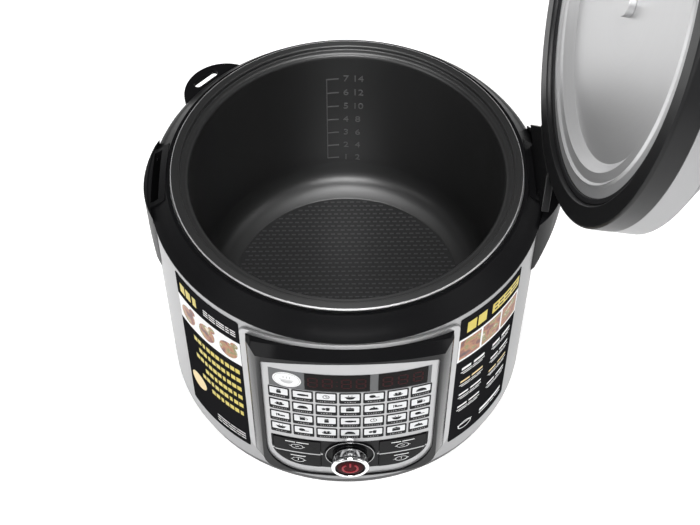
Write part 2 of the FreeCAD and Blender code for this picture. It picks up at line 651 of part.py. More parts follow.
# Cooking pot and outer pot
def build_pots():
    neck = "rim_height - pot_shoulder_drop"
    outer = "pot_radius + pot_wall"
    shoulder = "pot_shoulder_radius + pot_wall"
    node(revolved(
        (
            ("0", "pot_lift"),
            (outer, "pot_lift"),
            (outer, f"{neck} - pot_wall"),
            (shoulder, f"{neck} - pot_wall"),
            (shoulder, "rim_height - pot_rim_sheet"),
            ("pot_rim_radius", "rim_height - pot_rim_sheet"),
            ("pot_rim_radius", "rim_height"),
            ("pot_shoulder_radius", "rim_height"),
            ("pot_shoulder_radius", neck),
            ("pot_radius", neck),
            ("pot_radius", "pot_lift + pot_floor"),
            ("0", "pot_lift + pot_floor"),
        ),
        rounds=(
            ("pot_radius", "pot_lift + pot_floor", "pot_corner"),
            (outer, "pot_lift", "pot_corner + pot_wall"),
            ("pot_radius", neck, "pot_shoulder_round"),
            ("pot_rim_radius", "rim_height", "pot_rim_round"),
            ("pot_shoulder_radius", "rim_height", "pot_rim_round"),
        ),
    ), "inner_pot")
    liner = revolved((
        ("liner_hole", "liner_bottom"),
        ("liner_radius + liner_wall", "liner_bottom"),
        ("liner_radius + liner_wall", "flange_top - liner_wall"),
        ("liner_flange_radius", "flange_top - liner_wall"),
        ("liner_flange_radius", "flange_top"),
        ("liner_radius", "flange_top"),
        ("liner_radius", "liner_floor"),
        ("liner_hole", "liner_floor"),
    ))
    holes = []
    for side in ("", "-"):
        holes.append(cylinder("terminal_radius + move_gap", "liner_floor", f"{side}terminal_spread",
                              terminal_y(), "0"))
    node(cut(liner, *holes), "outer_pot")


# Top ring, handles and spoon holder
def build_ring():
    ring = revolved((
        ("ring_inner_radius", "flange_top"),
        ("liner_flange_radius + fit_gap", "flange_top"),
        ("liner_flange_radius + fit_gap", "ring_shelf"),
        ("spigot_radius - ring_wall", "ring_shelf"),
        ("spigot_radius - ring_wall", "ring_bottom - spigot"),
        ("spigot_radius", "ring_bottom - spigot"),
        ("spigot_radius", "ring_bottom"),
        ("ring_radius", "ring_bottom"),
        ("ring_radius", "ring_bottom + ring_bevel"),
        ("ring_radius - ring_slope", "ring_ridge"),
        ("ring_radius - ring_slope - ring_bevel", "ring_ridge + ring_bevel / 2"),
        ("ring_inner_radius + ring_wall", "ring_crown"),
        ("ring_inner_radius", "ring_crown - ring_bevel / 2"),
    ))
    half = "handle_half + fit_gap"
    inner = "handle_inner - fit_gap"
    right = box(inner, "outside", f"-({half})", half, "ring_bottom - spigot * 2", "rim_height")
    left = box("-outside", f"-({inner})", f"-({half})", half, "ring_bottom - spigot * 2",
               "rim_height")
    node(cut(ring, right, left), "top_ring")


def handle_insert():
    """The piece of a handle that fills the gap in the ring."""
    over = "ring_radius + 2 * fit_gap"
    pocket_bottom = "slot_bottom - slot_floor"
    turned = revolved((
        ("handle_inner - handle_toe", pocket_bottom),
        ("spigot_radius", pocket_bottom),
        ("spigot_radius", "ring_bottom + fit_gap"),
        (over, "ring_bottom + fit_gap"),
        (over, "handle_ridge - ring_bevel"),
        ("ring_radius - ring_bevel", "handle_ridge"),
        ("ring_radius - ring_bevel * 2", "handle_ridge + ring_bevel / 3"),
        ("ring_inner_radius + ring_wall", "ring_crown"),
        ("handle_inner - handle_toe", "ring_crown"),
    ))
    return common(turned, box("handle_inner", "outside", "-handle_half", "handle_half", "0", "rim_height"))


def handle_grip(reach, curve):
    """The piece of a handle that stands out from the shell, rounded as seen from above."""
    outer = "ring_radius + fit_gap"
    grip_bottom = "rim_height - handle_grip_drop"
    turned = revolved((
        ("body_radius + fit_gap", grip_bottom),
        ("body_radius + fit_gap + handle_toe", grip_bottom),
        (f"{reach} + fit_gap", "ring_bottom - spigot"),
        (f"{reach} + fit_gap", "handle_ridge - ring_bevel * 3"),
        (f"{reach} - ring_wall", "handle_ridge - ring_bevel"),
        (outer, "handle_ridge - ring_bevel"),
        (outer, "ring_bottom - fit_gap"),
        ("body_radius + fit_gap", "ring_bottom - fit_gap"),
    ))
    return common(turned, cylinder(curve, "rim_height", x=f"{reach} - {curve}"))


def lid_slot():
    """Block of the slot that the lid's tab slides into, leaning with the lid."""
    slot = doc.addObject("Part::Box", "slot")
    bind(slot, Length="slot_width", Width="slot_length", Height="slot_depth * 2")
    drop = "slot_depth / cos(lid_lean)"
    return place(
        slot,
        f"slot_radius - slot_width / 2 * cos(lid_lean) - {drop} * sin(lid_lean)",
        "-slot_length / 2",
        f"slot_top + slot_width / 2 * sin(lid_lean) - {drop} * cos(lid_lean)",
        (Y_AXIS, "lid_lean"),
    )


def build_handles():
    node(cut(fuse(handle_insert(), handle_grip("right_reach", "right_curve")), lid_slot()), "right_handle")
    left = doc.addObject("Part::Mirroring", "left_handle")
    left.Source = cut(fuse(handle_insert(), handle_grip("left_reach", "left_curve")), lid_slot())
    left.Normal = X_AXIS
    node(left, "left_handle")


def build_spoon_holder():
    top = "rim_height - loop_drop"
    low = f"{top} - loop_sheet"
    loop = cylinder("loop_curve", "loop_sheet", x="loop_reach - loop_curve", z=low)
    inside = cylinder("body_radius + fit_gap", "loop_sheet", z=low)
    half = "loop_hole_length / 2 - loop_hole_width / 2"
    hole = fuse(
        box("loop_hole_radius - loop_hole_width / 2", "loop_hole_radius + loop_hole_width / 2",
            f"-({half})", half, low, top),
        cylinder("loop_hole_width / 2", "loop_sheet", "loop_hole_radius", half, low),
        cylinder("loop_hole_width / 2", "loop_sheet", "loop_hole_radius", f"-({half})", low),
    )
    holder = cut(loop, inside, hole)
    node(place(holder, turn=(Z_AXIS, "loop_angle")), "spoon_holder")


# Heater, sensor and safety devices
def terminal_y():
    return "-sqrt(element_circle * element_circle - terminal_spread * terminal_spread)"


def build_heater():
    plate = revolved(
        (
            ("plate_hole", "plate_bottom"),
            ("plate_radius", "plate_bottom"),
            ("plate_radius", "plate_top"),
            ("plate_hole", "plate_top"),
        ),
        rounds=(("plate_radius", "plate_top", "plate_round"),),
    )
    legs = []
    for bearing in (90, 210, 330):
        legs.append(cylinder("plate_leg_radius", "plate_bottom - liner_floor",
                             f"plate_leg_circle * cos({bearing})", f"plate_leg_circle * sin({bearing})",
                             "liner_floor"))
    node(fuse(plate, *legs), "heating_plate")
    ring = doc.addObject("Part::Torus", "ring")
    bind(ring, Radius1="element_circle", Radius2="element_radius")
    middle = "plate_bottom - element_radius - fit_gap / 2"
    place(ring, z=middle)
    pins = []
    for side in ("", "-"):
        low = "liner_bottom - terminal_drop"
        pins.append(cylinder("terminal_radius", f"{middle} - ({low})", f"{side}terminal_spread",
                             terminal_y(), low))
    node(fuse(ring, *pins), "heating_element")


def build_sensor():
    roof = "sensor_top - sensor_sheet"
    stem_end = "liner_bottom - sensor_stem_drop"
    node(revolved(
        (
            ("0", stem_end),
            ("sensor_stem_radius", stem_end),
            ("sensor_stem_radius", roof),
            ("sensor_radius - sensor_sheet", roof),
            ("sensor_radius - sensor_sheet", "sensor_top - sensor_height"),
            ("sensor_radius", "sensor_top - sensor_height"),
            ("sensor_radius", "sensor_top"),
            ("0", "sensor_top"),
        ),
        rounds=(("sensor_radius", "sensor_top", "sensor_sheet"),),
    ), "sensor_cap")
    node(tube("spring_inner_radius", "spring_inner_radius + spring_wire", "bracket_top", roof),
         "sensor_spring")
    node(revolved((
        ("sensor_stem_radius + move_gap", "bracket_base"),
        ("bracket_radius", "bracket_base"),
        ("bracket_radius", "liner_bottom"),
        ("bracket_radius - bracket_drop", "liner_bottom"),
        ("bracket_radius - bracket_drop", "bracket_top"),
        ("sensor_stem_radius + move_gap", "bracket_top"),
    )), "sensor_bracket")


def build_safety():
    fuse_body = cylinder("fuse_radius", "fuse_length", "-fuse_distance", "fuse_length / 2",
                         "liner_bottom - fuse_radius", TURN_TO_FRONT)
    clip = box("-fuse_distance - fuse_radius", "-fuse_distance + fuse_radius", "-fuse_radius", "fuse_radius",
               "liner_bottom - fuse_radius", "liner_bottom")
    node(fuse(fuse_body, clip), "thermal_fuse")
    node(box("switch_distance - switch_depth / 2", "switch_distance + switch_depth / 2",
             "-switch_width / 2", "switch_width / 2", "liner_bottom - switch_height", "liner_bottom"),
         "pressure_switch")


# Power board and mains inlet
def power_board_corners():
    corners = []
    for x_side in ("", "-"):
        for y_side in ("+", "-"):
            corners.append((
                f"{x_side}(power_board_width / 2 - board_edge)",
                f"power_board_distance {y_side} (power_board_depth / 2 - board_edge)",
            ))
    return corners


def build_power_board():
    low = "tray_top + power_board_lift"
    top = f"{low} + board_sheet"
    half_depth = "power_board_depth / 2"
    board = box("-power_board_width / 2", "power_board_width / 2", f"power_board_distance - {half_depth}",
                f"power_board_distance + {half_depth}", low, top)
    holes = []
    screws = []
    for x, y in power_board_corners():
        holes.append(cylinder("screw_radius + fit_gap", "board_sheet", x, y, low))
        head = cylinder("screw_head_radius", "screw_head_height", x, y, top)
        shank_low = f"{top} - screw_length"
        shank = cylinder("screw_radius - fit_gap / 2", "screw_length", x, y, shank_low)
        screws.append(fuse(head, shank))
    node(cut(board, *holes), "power_board")
    node(group(*screws), "power_board_screws")
    node(box("-power_board_width / 4 - transformer_size / 2", "-power_board_width / 4 + transformer_size / 2",
             "power_board_distance - transformer_size / 2", "power_board_distance + transformer_size / 2",
             top, f"{top} + transformer_height"), "transformer")
    node(box("power_board_width / 4 - relay_width / 2", "power_board_width / 4 + relay_width / 2",
             "power_board_distance - relay_depth / 2", "power_board_distance + relay_depth / 2",
             top, f"{top} + relay_height"), "heater_relay")


def build_inlet():
    low, high = "inlet_middle - inlet_height / 2", "inlet_middle + inlet_height / 2"
    face = "body_radius + fit_gap"
    front = f"{face} + inlet_flange"
    body = box("-inlet_width / 2", "inlet_width / 2", f"{face} - inlet_length", front, low, high)
    flange = box("-inlet_width / 2 - inlet_lip", "inlet_width / 2 + inlet_lip", face, front,
                 f"{low} - inlet_lip", f"{high} + inlet_lip")
    socket_low = "inlet_middle - inlet_socket_height / 2"
    socket = box("-inlet_socket_width / 2", "inlet_socket_width / 2", f"{front} - inlet_socket_depth", front,
                 socket_low, f"{socket_low} + inlet_socket_height")
    node(cut(fuse(body, flange), socket), "mains_inlet")
    pins = []
    for step, side in ((-1, "-"), (0, "+"), (1, "-")):
        x = f"{step} * inlet_pin_pitch"
        middle = f"inlet_middle {side} inlet_pin_rise"
        pins.append(box(f"{x} - inlet_pin_width / 2", f"{x} + inlet_pin_width / 2",
                        f"{front} - inlet_socket_depth", f"{front} - inlet_socket_depth + inlet_pin_length",
                        f"{middle} - inlet_pin_height / 2", f"{middle} + inlet_pin_height / 2"))
    node(group(*pins), "inlet_pins")


# Control panel
def face_block(grow="0"):
    """Block with the faceplate's outline."""
    return arched_block("face_half", "face_bottom", "face_top", "face_arch", "face_corner",
                        "face_top_corner", grow)


def key_blocks(grow="0"):
    """Name and outline block of each function key, inside the faceplate's rounded border."""
    border = arched_block("key_outer", "key_first", "face_top", "face_arch", "face_corner - key_margin",
                          grow=grow)
    blocks = []
    for row, height in ((0, "lower"), (1, "upper")):
        low = f"key_first + {row} * key_row"
        for side, name in ((-1, "left"), (1, "right")):
            edges = (f"{side} * key_inner", f"{side} * key_outer")
            x_low, x_high = edges if side > 0 else edges[::-1]
            block = box(f"{x_low} - {grow}", f"{x_high} + {grow}", "-outside", "0",
                        f"{low} - {grow}", f"{low} + key_height + {grow}")
            blocks.append((f"key_{height}_{name}", common(block, border)))
    return blocks


def key_middles():
    """Middle of each function key, across and up."""
    middles = []
    for row in range(2):
        for side in (-1, 1):
            middles.append((f"{side} * (key_inner + key_outer) / 2",
                            f"key_first + {row} * key_row + key_height / 2"))
    return middles


def board_post_places():
    places = []
    for side in ("", "-"):
        for height in ("control_board_bottom + board_edge", "control_board_top - board_edge"):
            places.append((f"{side}(control_board_half - board_edge)", height))
    return places


def build_trim():
    outline = arched_block("trim_half", "trim_bottom", "trim_top", "panel_arch",
                           "panel_corner + trim_width", "trim_corner")
    inside = arched_block("frame_half", "frame_bottom", "frame_top", "panel_arch", "panel_corner",
                          grow="fit_gap")
    band = common(outline, tube("body_radius + fit_gap / 2", "body_radius + trim_sheet", "0", "rim_height"))
    node(cut(band, inside), "panel_trim")


def bevelled(plate, size):
    """Bevel the edges where the frame's sides meet its curved front."""
    doc.recompute()
    axis = V(0, value("panel_flatness"), 0)
    front = value("frame_front_radius + panel_flatness")
    edges = []
    for number, edge in enumerate(plate.Shape.Edges, start=1):
        mid = edge.valueAt((edge.FirstParameter + edge.LastParameter) / 2)
        ends = [vertex.Point for vertex in edge.Vertexes]
        if all(abs((V(point.x, point.y, 0) - axis).Length - front) < NEAR for point in [mid, *ends]):
            edges.append((number, size, size))
    bevel = doc.addObject("Part::Chamfer", "bevel")
    bevel.Base = plate
    bevel.Edges = edges
    doc.recompute()
    return bevel


def build_frame():
    outline = arched_block("frame_half", "frame_bottom", "frame_top", "panel_arch", "panel_corner")
    front = cylinder("frame_front_radius + panel_flatness", "rim_height", y="panel_flatness")
    plate = bevelled(cut(common(outline, front), cylinder("frame_seat", "rim_height")), value("frame_bevel"))
    recess = common(face_block("fit_gap"), panel_ring("face_seat", "outside"))
    hole = box("-panel_hole_half", "panel_hole_half", "-outside", "0",
               "panel_hole_bottom", "panel_hole_top")
    shaft_hole = cylinder("shaft_radius + move_gap", "outside", z="knob_height",
                          turn=TURN_TO_FRONT)
    dish_room = cylinder("dish_radius + fit_gap", "frame_front_radius", y="-face_seat", z="knob_height",
                         turn=TURN_TO_FRONT)
    stalk_holes = []
    for x, z in key_middles():
        stalk_holes.append(cylinder("stalk_radius + fit_gap", "outside", x, "0", z,
                                    TURN_TO_FRONT))
    posts = []
    pilots = []
    for x, z in board_post_places():
        reach = f"{panel_reach('face_seat', x)} - control_board_front"
        start = "-control_board_front"
        posts.append(cylinder("board_post_radius", f"{reach} - face_sheet", x, start, z, TURN_TO_FRONT))
        pilots.append(cylinder("screw_radius", "screw_length", x, start, z, TURN_TO_FRONT))
    body = fuse(cut(plate, recess, hole, dish_room), *posts)
    node(cut(body, shaft_hole, *stalk_holes, *pilots), "panel_frame")


def build_faceplate():
    plate = common(face_block(), panel_ring("face_seat + fit_gap / 4", "face_radius"))
    key_holes = [block for name, block in key_blocks("move_gap")]
    dish_hole = cylinder("dish_radius + fit_gap", "outside", z="knob_height",
                         turn=TURN_TO_FRONT)
    node(cut(plate, *key_holes, dish_hole), "faceplate")
    lens_back = "face_radius + fit_gap / 4"
    lens_front = "face_radius + lens_sheet"
    node(curved_plate("window_left", "window_split", "window_bottom", "window_top", lens_back, lens_front),
         "time_window")
    node(curved_plate("window_split + window_divider", "window_right", "window_bottom", "window_top",
                      lens_back, lens_front), "temperature_window")
    blocks = []
    for column in range(-3, 4):
        for row in range(4):
            low = f"tile_first + {row} * tile_row"
            block = box("-tile_width / 2", "tile_width / 2", "-frame_front_radius", "-face_seat",
                        low, f"{low} + tile_height")
            angle = f"(tile_step * {column})"
            axis = Z_AXIS if column > 0 else -Z_AXIS
            turn = (axis, f"tile_step * {abs(column)}") if column else NO_TURN
            reach = "(frame_front_radius + panel_flatness)"
            place(block, f"-tile_width / 2 * cos{angle} + {reach} * sin{angle}",
                  f"panel_flatness - tile_width / 2 * sin{angle} - {reach} * cos{angle}", low, turn)
            blocks.append(block)
    node(common(group(*blocks), panel_ring(lens_back, lens_front)), "program_tiles")


def build_keys():
    ring = panel_ring("key_back", "face_radius + key_proud")
    for name, block in key_blocks():
        node(common(block, ring), name)
    stalks = []
    for x, z in key_middles():
        nearest = "(key_inner + key_outer) / 2 + stalk_radius"
        length = f"{panel_reach('key_back', nearest)} - stalk_gap - control_board_front"
        stalks.append(cylinder("stalk_radius", length, x, "-control_board_front", z, TURN_TO_FRONT))
    node(group(*stalks), "key_switches")


def build_knob():
    dish = revolved((
        ("shaft_radius + move_gap", "0"),
        ("dish_radius", "0"),
        ("dish_radius", "dish_height"),
        ("dish_radius - dish_wall", "dish_height"),
        ("dish_radius - dish_wall", "dish_floor"),
        ("shaft_radius + move_gap", "dish_floor"),
    ))
    node(place(dish, "0", "-dish_base", "knob_height", TURN_TO_FRONT), "knob_dish")
    knob = revolved((
        ("shaft_radius + shaft_gap", "0"),
        ("knob_radius - knob_edge", "0"),
        ("knob_radius", "knob_edge"),
        ("knob_radius", "knob_length - knob_edge"),
        ("knob_radius - knob_edge", "knob_length"),
        ("knob_cup_radius", "knob_length"),
        ("knob_cup_radius", "knob_length - knob_cup_depth"),
        ("shaft_radius + shaft_gap", "knob_length - knob_cup_depth"),
    ))
    node(place(knob, "0", "-knob_base", "knob_height", TURN_TO_FRONT), "knob")
    button_low = "knob_length - knob_cup_depth + button_lift"
    button = revolved(
        (
            ("0", button_low),
            ("knob_cup_radius - move_gap", button_low),
            ("knob_cup_radius - move_gap", f"{button_low} + button_height"),
            ("0", f"{button_low} + button_height"),
        ),
        rounds=(("knob_cup_radius - move_gap", f"{button_low} + button_height", "knob_edge"),),
    )
    node(place(button, "0", "-knob_base", "knob_height", TURN_TO_FRONT), "power_button")
    shaft_back = "control_board_front + fit_gap"
    shaft_front = "knob_base + knob_length - knob_cup_depth"
    node(cylinder("shaft_radius", f"{shaft_front} - ({shaft_back})", "0", f"-({shaft_back})", "knob_height",
                  TURN_TO_FRONT), "encoder_shaft")
    encoder_front = "-control_board_front - encoder_height"
    encoder = box("-encoder_size / 2", "encoder_size / 2", encoder_front, "-control_board_front",
                  "knob_height - encoder_size / 2", "knob_height + encoder_size / 2")
    bore = cylinder("shaft_radius + shaft_gap", "control_board_front + encoder_height", "0", "0",
                    "knob_height", TURN_TO_FRONT)
    node(cut(encoder, bore), "encoder")


def build_control_board():
    back = "-control_board_front + board_sheet"
    board = box("-control_board_half", "control_board_half", "-control_board_front", back,
                "control_board_bottom", "control_board_top")
    holes = []
    screws = []
    for x, z in board_post_places():
        holes.append(cylinder("screw_radius + fit_gap", "board_sheet", x, back, z, TURN_TO_FRONT))
        head = cylinder("screw_head_radius", "screw_head_height", x, f"{back} + screw_head_height", z,
                        TURN_TO_FRONT)
        shank = cylinder("screw_radius - fit_gap / 2", "screw_length", x, back, z, TURN_TO_FRONT)
        screws.append(fuse(head, shank))
    node(cut(board, *holes), "control_board")
    node(group(*screws), "control_board_screws")
    node(box("-display_half", "display_half", "-control_board_front - display_depth", "-control_board_front",
             "window_bottom", "window_top"), "display_module")


# Lid, modelled flat with its lower edge at zero and then parked
def on_lid(thing, label):
    """Move a piece from the flat lid to its place on the parked lid."""
    place(thing, "lid_middle_x", "0", "lid_middle_z", (Y_AXIS, "90 + lid_lean"))
    node(thing, label)


def build_lid_shells():
    skirt = revolved((
        ("skirt_inner_radius", "skirt_round * 2"),
        ("skirt_inner_radius + skirt_round", "0"),
        ("lid_radius - skirt_round", "0"),
        ("lid_radius", "skirt_round"),
        ("lid_radius", "skirt_height"),
        ("lid_radius - skirt_wall", "skirt_height"),
        ("lid_radius - skirt_wall", "skirt_sheet"),
        ("skirt_inner_radius", "skirt_sheet"),
    ))
    on_lid(skirt, "lid_skirt")
    on_lid(tube("lid_radius - fit_gap - band_wall", "lid_radius - fit_gap", "band_base", "cover_base"),
           "lid_band")
    edge = "lid_radius - fit_gap"
    shoulder_top = "cover_height - cover_shoulder_drop"
    cover = revolved(
        (
            (f"{edge} - cover_wall", "cover_base"),
            (edge, "cover_base"),
            ("cover_shoulder_radius", shoulder_top),
            ("cover_flat_radius", "cover_height"),
            ("0", "cover_height"),
            ("0", "cover_height - cover_wall"),
            ("cover_flat_radius - cover_wall", "cover_height - cover_wall"),
            ("cover_shoulder_radius - cover_wall", f"{shoulder_top} - cover_wall"),
        ),
        rounds=(
            ("cover_shoulder_radius", shoulder_top, "cover_round"),
            ("cover_flat_radius", "cover_height", "cover_round"),
        ),
    )
    openings = []
    for x, y, radius in lid_holes():
        openings.append(cylinder(f"{radius} + move_gap", "cover_height", x, y, "0"))
    on_lid(cut(cover, *openings), "lid_cover")
    shield = revolved((
        ("0", "pressure_lid_base"),
        ("lid_radius - skirt_wall - fit_gap - pressure_lid_wall", "pressure_lid_base"),
        ("lid_radius - skirt_wall - fit_gap - pressure_lid_wall", "skirt_sheet"),
        ("lid_radius - skirt_wall - fit_gap", "skirt_sheet"),
        ("lid_radius - skirt_wall - fit_gap", "pressure_lid_base + pressure_lid_sheet"),
        ("0", "pressure_lid_base + pressure_lid_sheet"),
    ))
    openings = []
    for x, y, radius in lid_holes():
        openings.append(cylinder(f"{radius} + move_gap", "cover_height", x, y, "0"))
    on_lid(cut(shield, *openings), "pressure_lid")


def lid_holes():
    """Place and radius of what passes through the lid."""
    return (
        ("-valve_offset", "0", "stem_radius"),
        ("-valve_offset", "float_offset", "float_radius"),
    )


def build_inner_lid():
    slope = "inner_lid_rise"
    inner = revolved((
        ("stud_radius + fit_gap", "inner_lid_top"),
        (f"inner_lid_step - {slope}", "inner_lid_top"),
        ("inner_lid_step", "inner_lid_base"),
        ("inner_lid_bead - inner_lid_bead_radius", "inner_lid_base"),
        ("inner_lid_bead", "inner_lid_base - inner_lid_bead_radius"),
        ("inner_lid_bead + inner_lid_bead_radius", "inner_lid_base"),
        ("inner_lid_radius", "inner_lid_base"),
        ("inner_lid_radius", "inner_lid_base + inner_lid_sheet"),
        ("inner_lid_step + inner_lid_sheet", "inner_lid_base + inner_lid_sheet"),
        (f"inner_lid_step - {slope} + inner_lid_sheet", "inner_lid_back"),
        ("stud_radius + fit_gap", "inner_lid_back"),
    ))
    float_hole = cylinder("float_flange + move_gap", "cover_height", "-valve_offset", "float_offset", "0")
    steam_hole = cylinder("stem_radius", "cover_height", "-valve_offset", "0", "0")
    on_lid(cut(inner, float_hole, steam_hole), "inner_lid")
    seal_low = "inner_lid_base - inner_lid_sheet"
    on_lid(tube("inner_lid_radius + fit_gap", "skirt_inner_radius - fit_gap", seal_low,
                f"{seal_low} + seal_height"), "sealing_ring")
    nut = revolved((
        ("0", "inner_lid_top - nut_height"),
        ("nut_radius", "inner_lid_top - nut_height"),
        ("nut_radius", "inner_lid_top"),
        ("stud_radius", "inner_lid_top"),
        ("stud_radius", "pressure_lid_base"),
        ("0", "pressure_lid_base"),
    ))
    on_lid(nut, "inner_lid_nut")


def build_lid_valves():
    stem_low, stem_top = "inner_lid_back", "cover_height + stem_proud"
    stem = cut(
        cylinder("stem_radius", f"{stem_top} - ({stem_low})", "-valve_offset", "0", stem_low),
        cylinder("stem_bore", f"{stem_top} - ({stem_low})", "-valve_offset", "0", stem_low),
    )
    on_lid(stem, "steam_stem")
    valve_low = "cover_height + valve_lift"
    valve_top = f"{valve_low} + valve_height"
    knob = cylinder("valve_radius", "valve_height", "-valve_offset", "0", valve_low)
    wings = box("-valve_offset - valve_wing_width / 2", "-valve_offset + valve_wing_width / 2",
                "-valve_wing", "valve_wing", f"{valve_top} - valve_roof", valve_top)
    bore = cylinder("stem_radius + shaft_gap", "valve_height - valve_roof", "-valve_offset", "0", valve_low)
    on_lid(cut(fuse(knob, wings), bore), "steam_valve")
    shield_low = "inner_lid_top - shield_height"
    shell = cylinder("shield_radius", "shield_height", "-valve_offset", "0", shield_low)
    room = cylinder("shield_radius - shield_wall", "shield_height - shield_wall", "-valve_offset", "0",
                    f"{shield_low} + shield_wall")
    on_lid(cut(shell, room), "steam_shield")
    flange_top = "pressure_lid_base - move_gap"
    pin_top = "cover_height - fit_gap"
    pin_low = f"{flange_top} - float_flange_sheet - float_tail"
    pin = cylinder("float_radius", f"{pin_top} - ({pin_low})", "-valve_offset", "float_offset", pin_low)
    flange = cylinder("float_flange", "float_flange_sheet", "-valve_offset", "float_offset",
                      f"{flange_top} - float_flange_sheet")
    on_lid(fuse(pin, flange), "float_valve")


def build_lid_handle():
    half = "lid_handle_half"
    under = "cover_height + lid_handle_room"
    body = doc.addObject("PartDesign::Body", "arch")
    sketch = outline_sketch(body, "YZ_Plane", (
        (f"-{half}", "cover_height"),
        (f"lid_handle_leg - {half}", "cover_height"),
        (f"lid_handle_leg - {half}", under),
        (f"{half} - lid_handle_leg", under),
        (f"{half} - lid_handle_leg", "cover_height"),
        (half, "cover_height"),
        (half, f"{under} + lid_handle_sheet"),
        (f"-{half}", f"{under} + lid_handle_sheet"),
    ))
    pad = body.newObject("PartDesign::Pad", "pad")
    pad.Profile = sketch
    pad.Midplane = True
    bind(pad, Length="lid_handle_width")
    doc.recompute()
    edges = []
    for number, edge in enumerate(pad.Shape.Edges, start=1):
        heights = [vertex.Point.z for vertex in edge.Vertexes]
        if min(heights) > value(under) + NEAR:
            edges.append(f"Edge{number}")
    rounding = body.newObject("PartDesign::Fillet", "rounding")
    rounding.Base = (pad, edges)
    bind(rounding, Radius="lid_handle_round")
    doc.recompute()
    on_lid(body, "lid_handle")


def build_lid_fin():
    root = "lid_radius - fin_width / 4"
    shoulder_end = "lid_radius + lid_gap - fin_shoulder_gap"
    end = "lid_radius + lid_gap + slot_depth - fin_bottom_gap"
    half, wide = "fin_width / 2", "fin_shoulder / 2"
    side = ((root, half), ("lid_radius", half), (shoulder_end, wide), (shoulder_end, half), (end, half))
    body = doc.addObject("PartDesign::Body", "tab")
    sketch = outline_sketch(body, "XY_Plane", (
        *side,
        *[(across, f"-{up}") for across, up in reversed(side)],
    ))
    pad = body.newObject("PartDesign::Pad", "pad")
    pad.Profile = sketch
    bind(pad, Length="fin_sheet")
    doc.recompute()
    raised = place(group(body), z="fin_base")
    inside = cylinder("lid_radius + fit_gap / 4", "fin_base + fin_sheet")
    on_lid(cut(raised, inside), "lid_parking_tab")


def check_document():
    """Stop if any object failed or any piece is not a sound solid."""
    for thing in doc.Objects:
        if "Invalid" in thing.State or "Error" in thing.State:
            raise RuntimeError(f"{thing.Name} ({thing.Label}) failed: {thing.State}")
    for piece in nodes:
        shape = piece.Shape
        if shape.isNull() or not shape.isValid() or not shape.Solids:
            raise RuntimeError(f"{piece.Label} has no sound solid")


def write_pieces():
    os.makedirs("parts", exist_ok=True)
    for piece in nodes:
        piece.Shape.exportStep(f"parts/{piece.Label}.step")
        print(piece.Label, len(piece.Shape.Solids), round(piece.Shape.Volume / 1000, 2), "cm3")


build_base()
build_shell()
build_pots()
build_ring()
build_handles()
build_spoon_holder()
build_heater()
build_sensor()
build_safety()
build_power_board()
build_inlet()
build_trim()
build_frame()
build_faceplate()
build_keys()
build_knob()
build_control_board()
build_lid_shells()
build_inner_lid()
build_lid_valves()
build_lid_handle()
build_lid_fin()
doc.recompute()
check_document()
write_pieces()
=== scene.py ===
import json
import math

import bmesh
import bpy
from bpy.types import Operator, Panel, PropertyGroup
from mathutils import Matrix, Vector


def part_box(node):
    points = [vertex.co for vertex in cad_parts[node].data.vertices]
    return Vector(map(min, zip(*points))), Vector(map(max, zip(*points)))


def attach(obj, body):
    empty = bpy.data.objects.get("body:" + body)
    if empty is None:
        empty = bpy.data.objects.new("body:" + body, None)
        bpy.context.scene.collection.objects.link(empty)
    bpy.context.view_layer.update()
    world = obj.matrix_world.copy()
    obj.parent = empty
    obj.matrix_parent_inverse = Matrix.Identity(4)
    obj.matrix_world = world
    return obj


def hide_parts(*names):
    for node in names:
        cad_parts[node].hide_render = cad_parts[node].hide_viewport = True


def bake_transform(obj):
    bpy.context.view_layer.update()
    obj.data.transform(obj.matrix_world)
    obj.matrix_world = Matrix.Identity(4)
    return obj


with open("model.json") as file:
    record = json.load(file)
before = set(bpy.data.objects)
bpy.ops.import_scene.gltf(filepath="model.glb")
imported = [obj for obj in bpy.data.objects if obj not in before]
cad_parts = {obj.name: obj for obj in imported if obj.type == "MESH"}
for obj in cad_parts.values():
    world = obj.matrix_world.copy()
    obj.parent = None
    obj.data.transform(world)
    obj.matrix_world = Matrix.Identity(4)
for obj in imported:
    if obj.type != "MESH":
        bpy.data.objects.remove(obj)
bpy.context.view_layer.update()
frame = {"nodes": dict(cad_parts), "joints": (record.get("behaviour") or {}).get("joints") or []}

bl_info = {
    "name": "Pressure cooker looks",
    "version": (1, 0, 0),
    "blender": (4, 5, 0),
    "location": "View3D > Sidebar > Cooker",
    "description": "Dresses the packed solids of an electric pressure cooker",
    "category": "Object",
}

# Lengths in metres, angles in radians
MM = 0.001
MERGE = 1e-6
FLAT = math.radians(0.1)
SHARP = math.radians(28)
BLUNT = math.radians(60)
SMOOTH = math.radians(40)
SHELL_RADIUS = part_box("outer_shell")[1].x
FACE_RADIUS = -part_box("faceplate")[0].y
PANEL_BEHIND = 52 * MM
STRIP = 3 * MM
RIM_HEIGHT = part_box("inner_pot")[1].z
POT_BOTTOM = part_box("inner_pot")[0].z
FLOOR_TOP = POT_BOTTOM + 2.8 * MM
UPRIGHT = Matrix.Rotation(math.radians(90), 4, "X")
JOINTS = {joint["name"]: joint for joint in frame["joints"]}
KNOB = Vector(JOINTS["knob_turn"]["pos_m"])
BODY = "cooker_body"


# Settings that a user would change

def colour(name, description, default):
    return bpy.props.FloatVectorProperty(
        name=name, description=description, subtype="COLOR", size=3, min=0, max=1, default=default)


def length(name, description, default):
    return bpy.props.FloatProperty(name=name, description=description, unit="LENGTH", default=default)


def angle(name, description, degrees):
    return bpy.props.FloatProperty(
        name=name, description=description, subtype="ANGLE", default=math.radians(degrees))


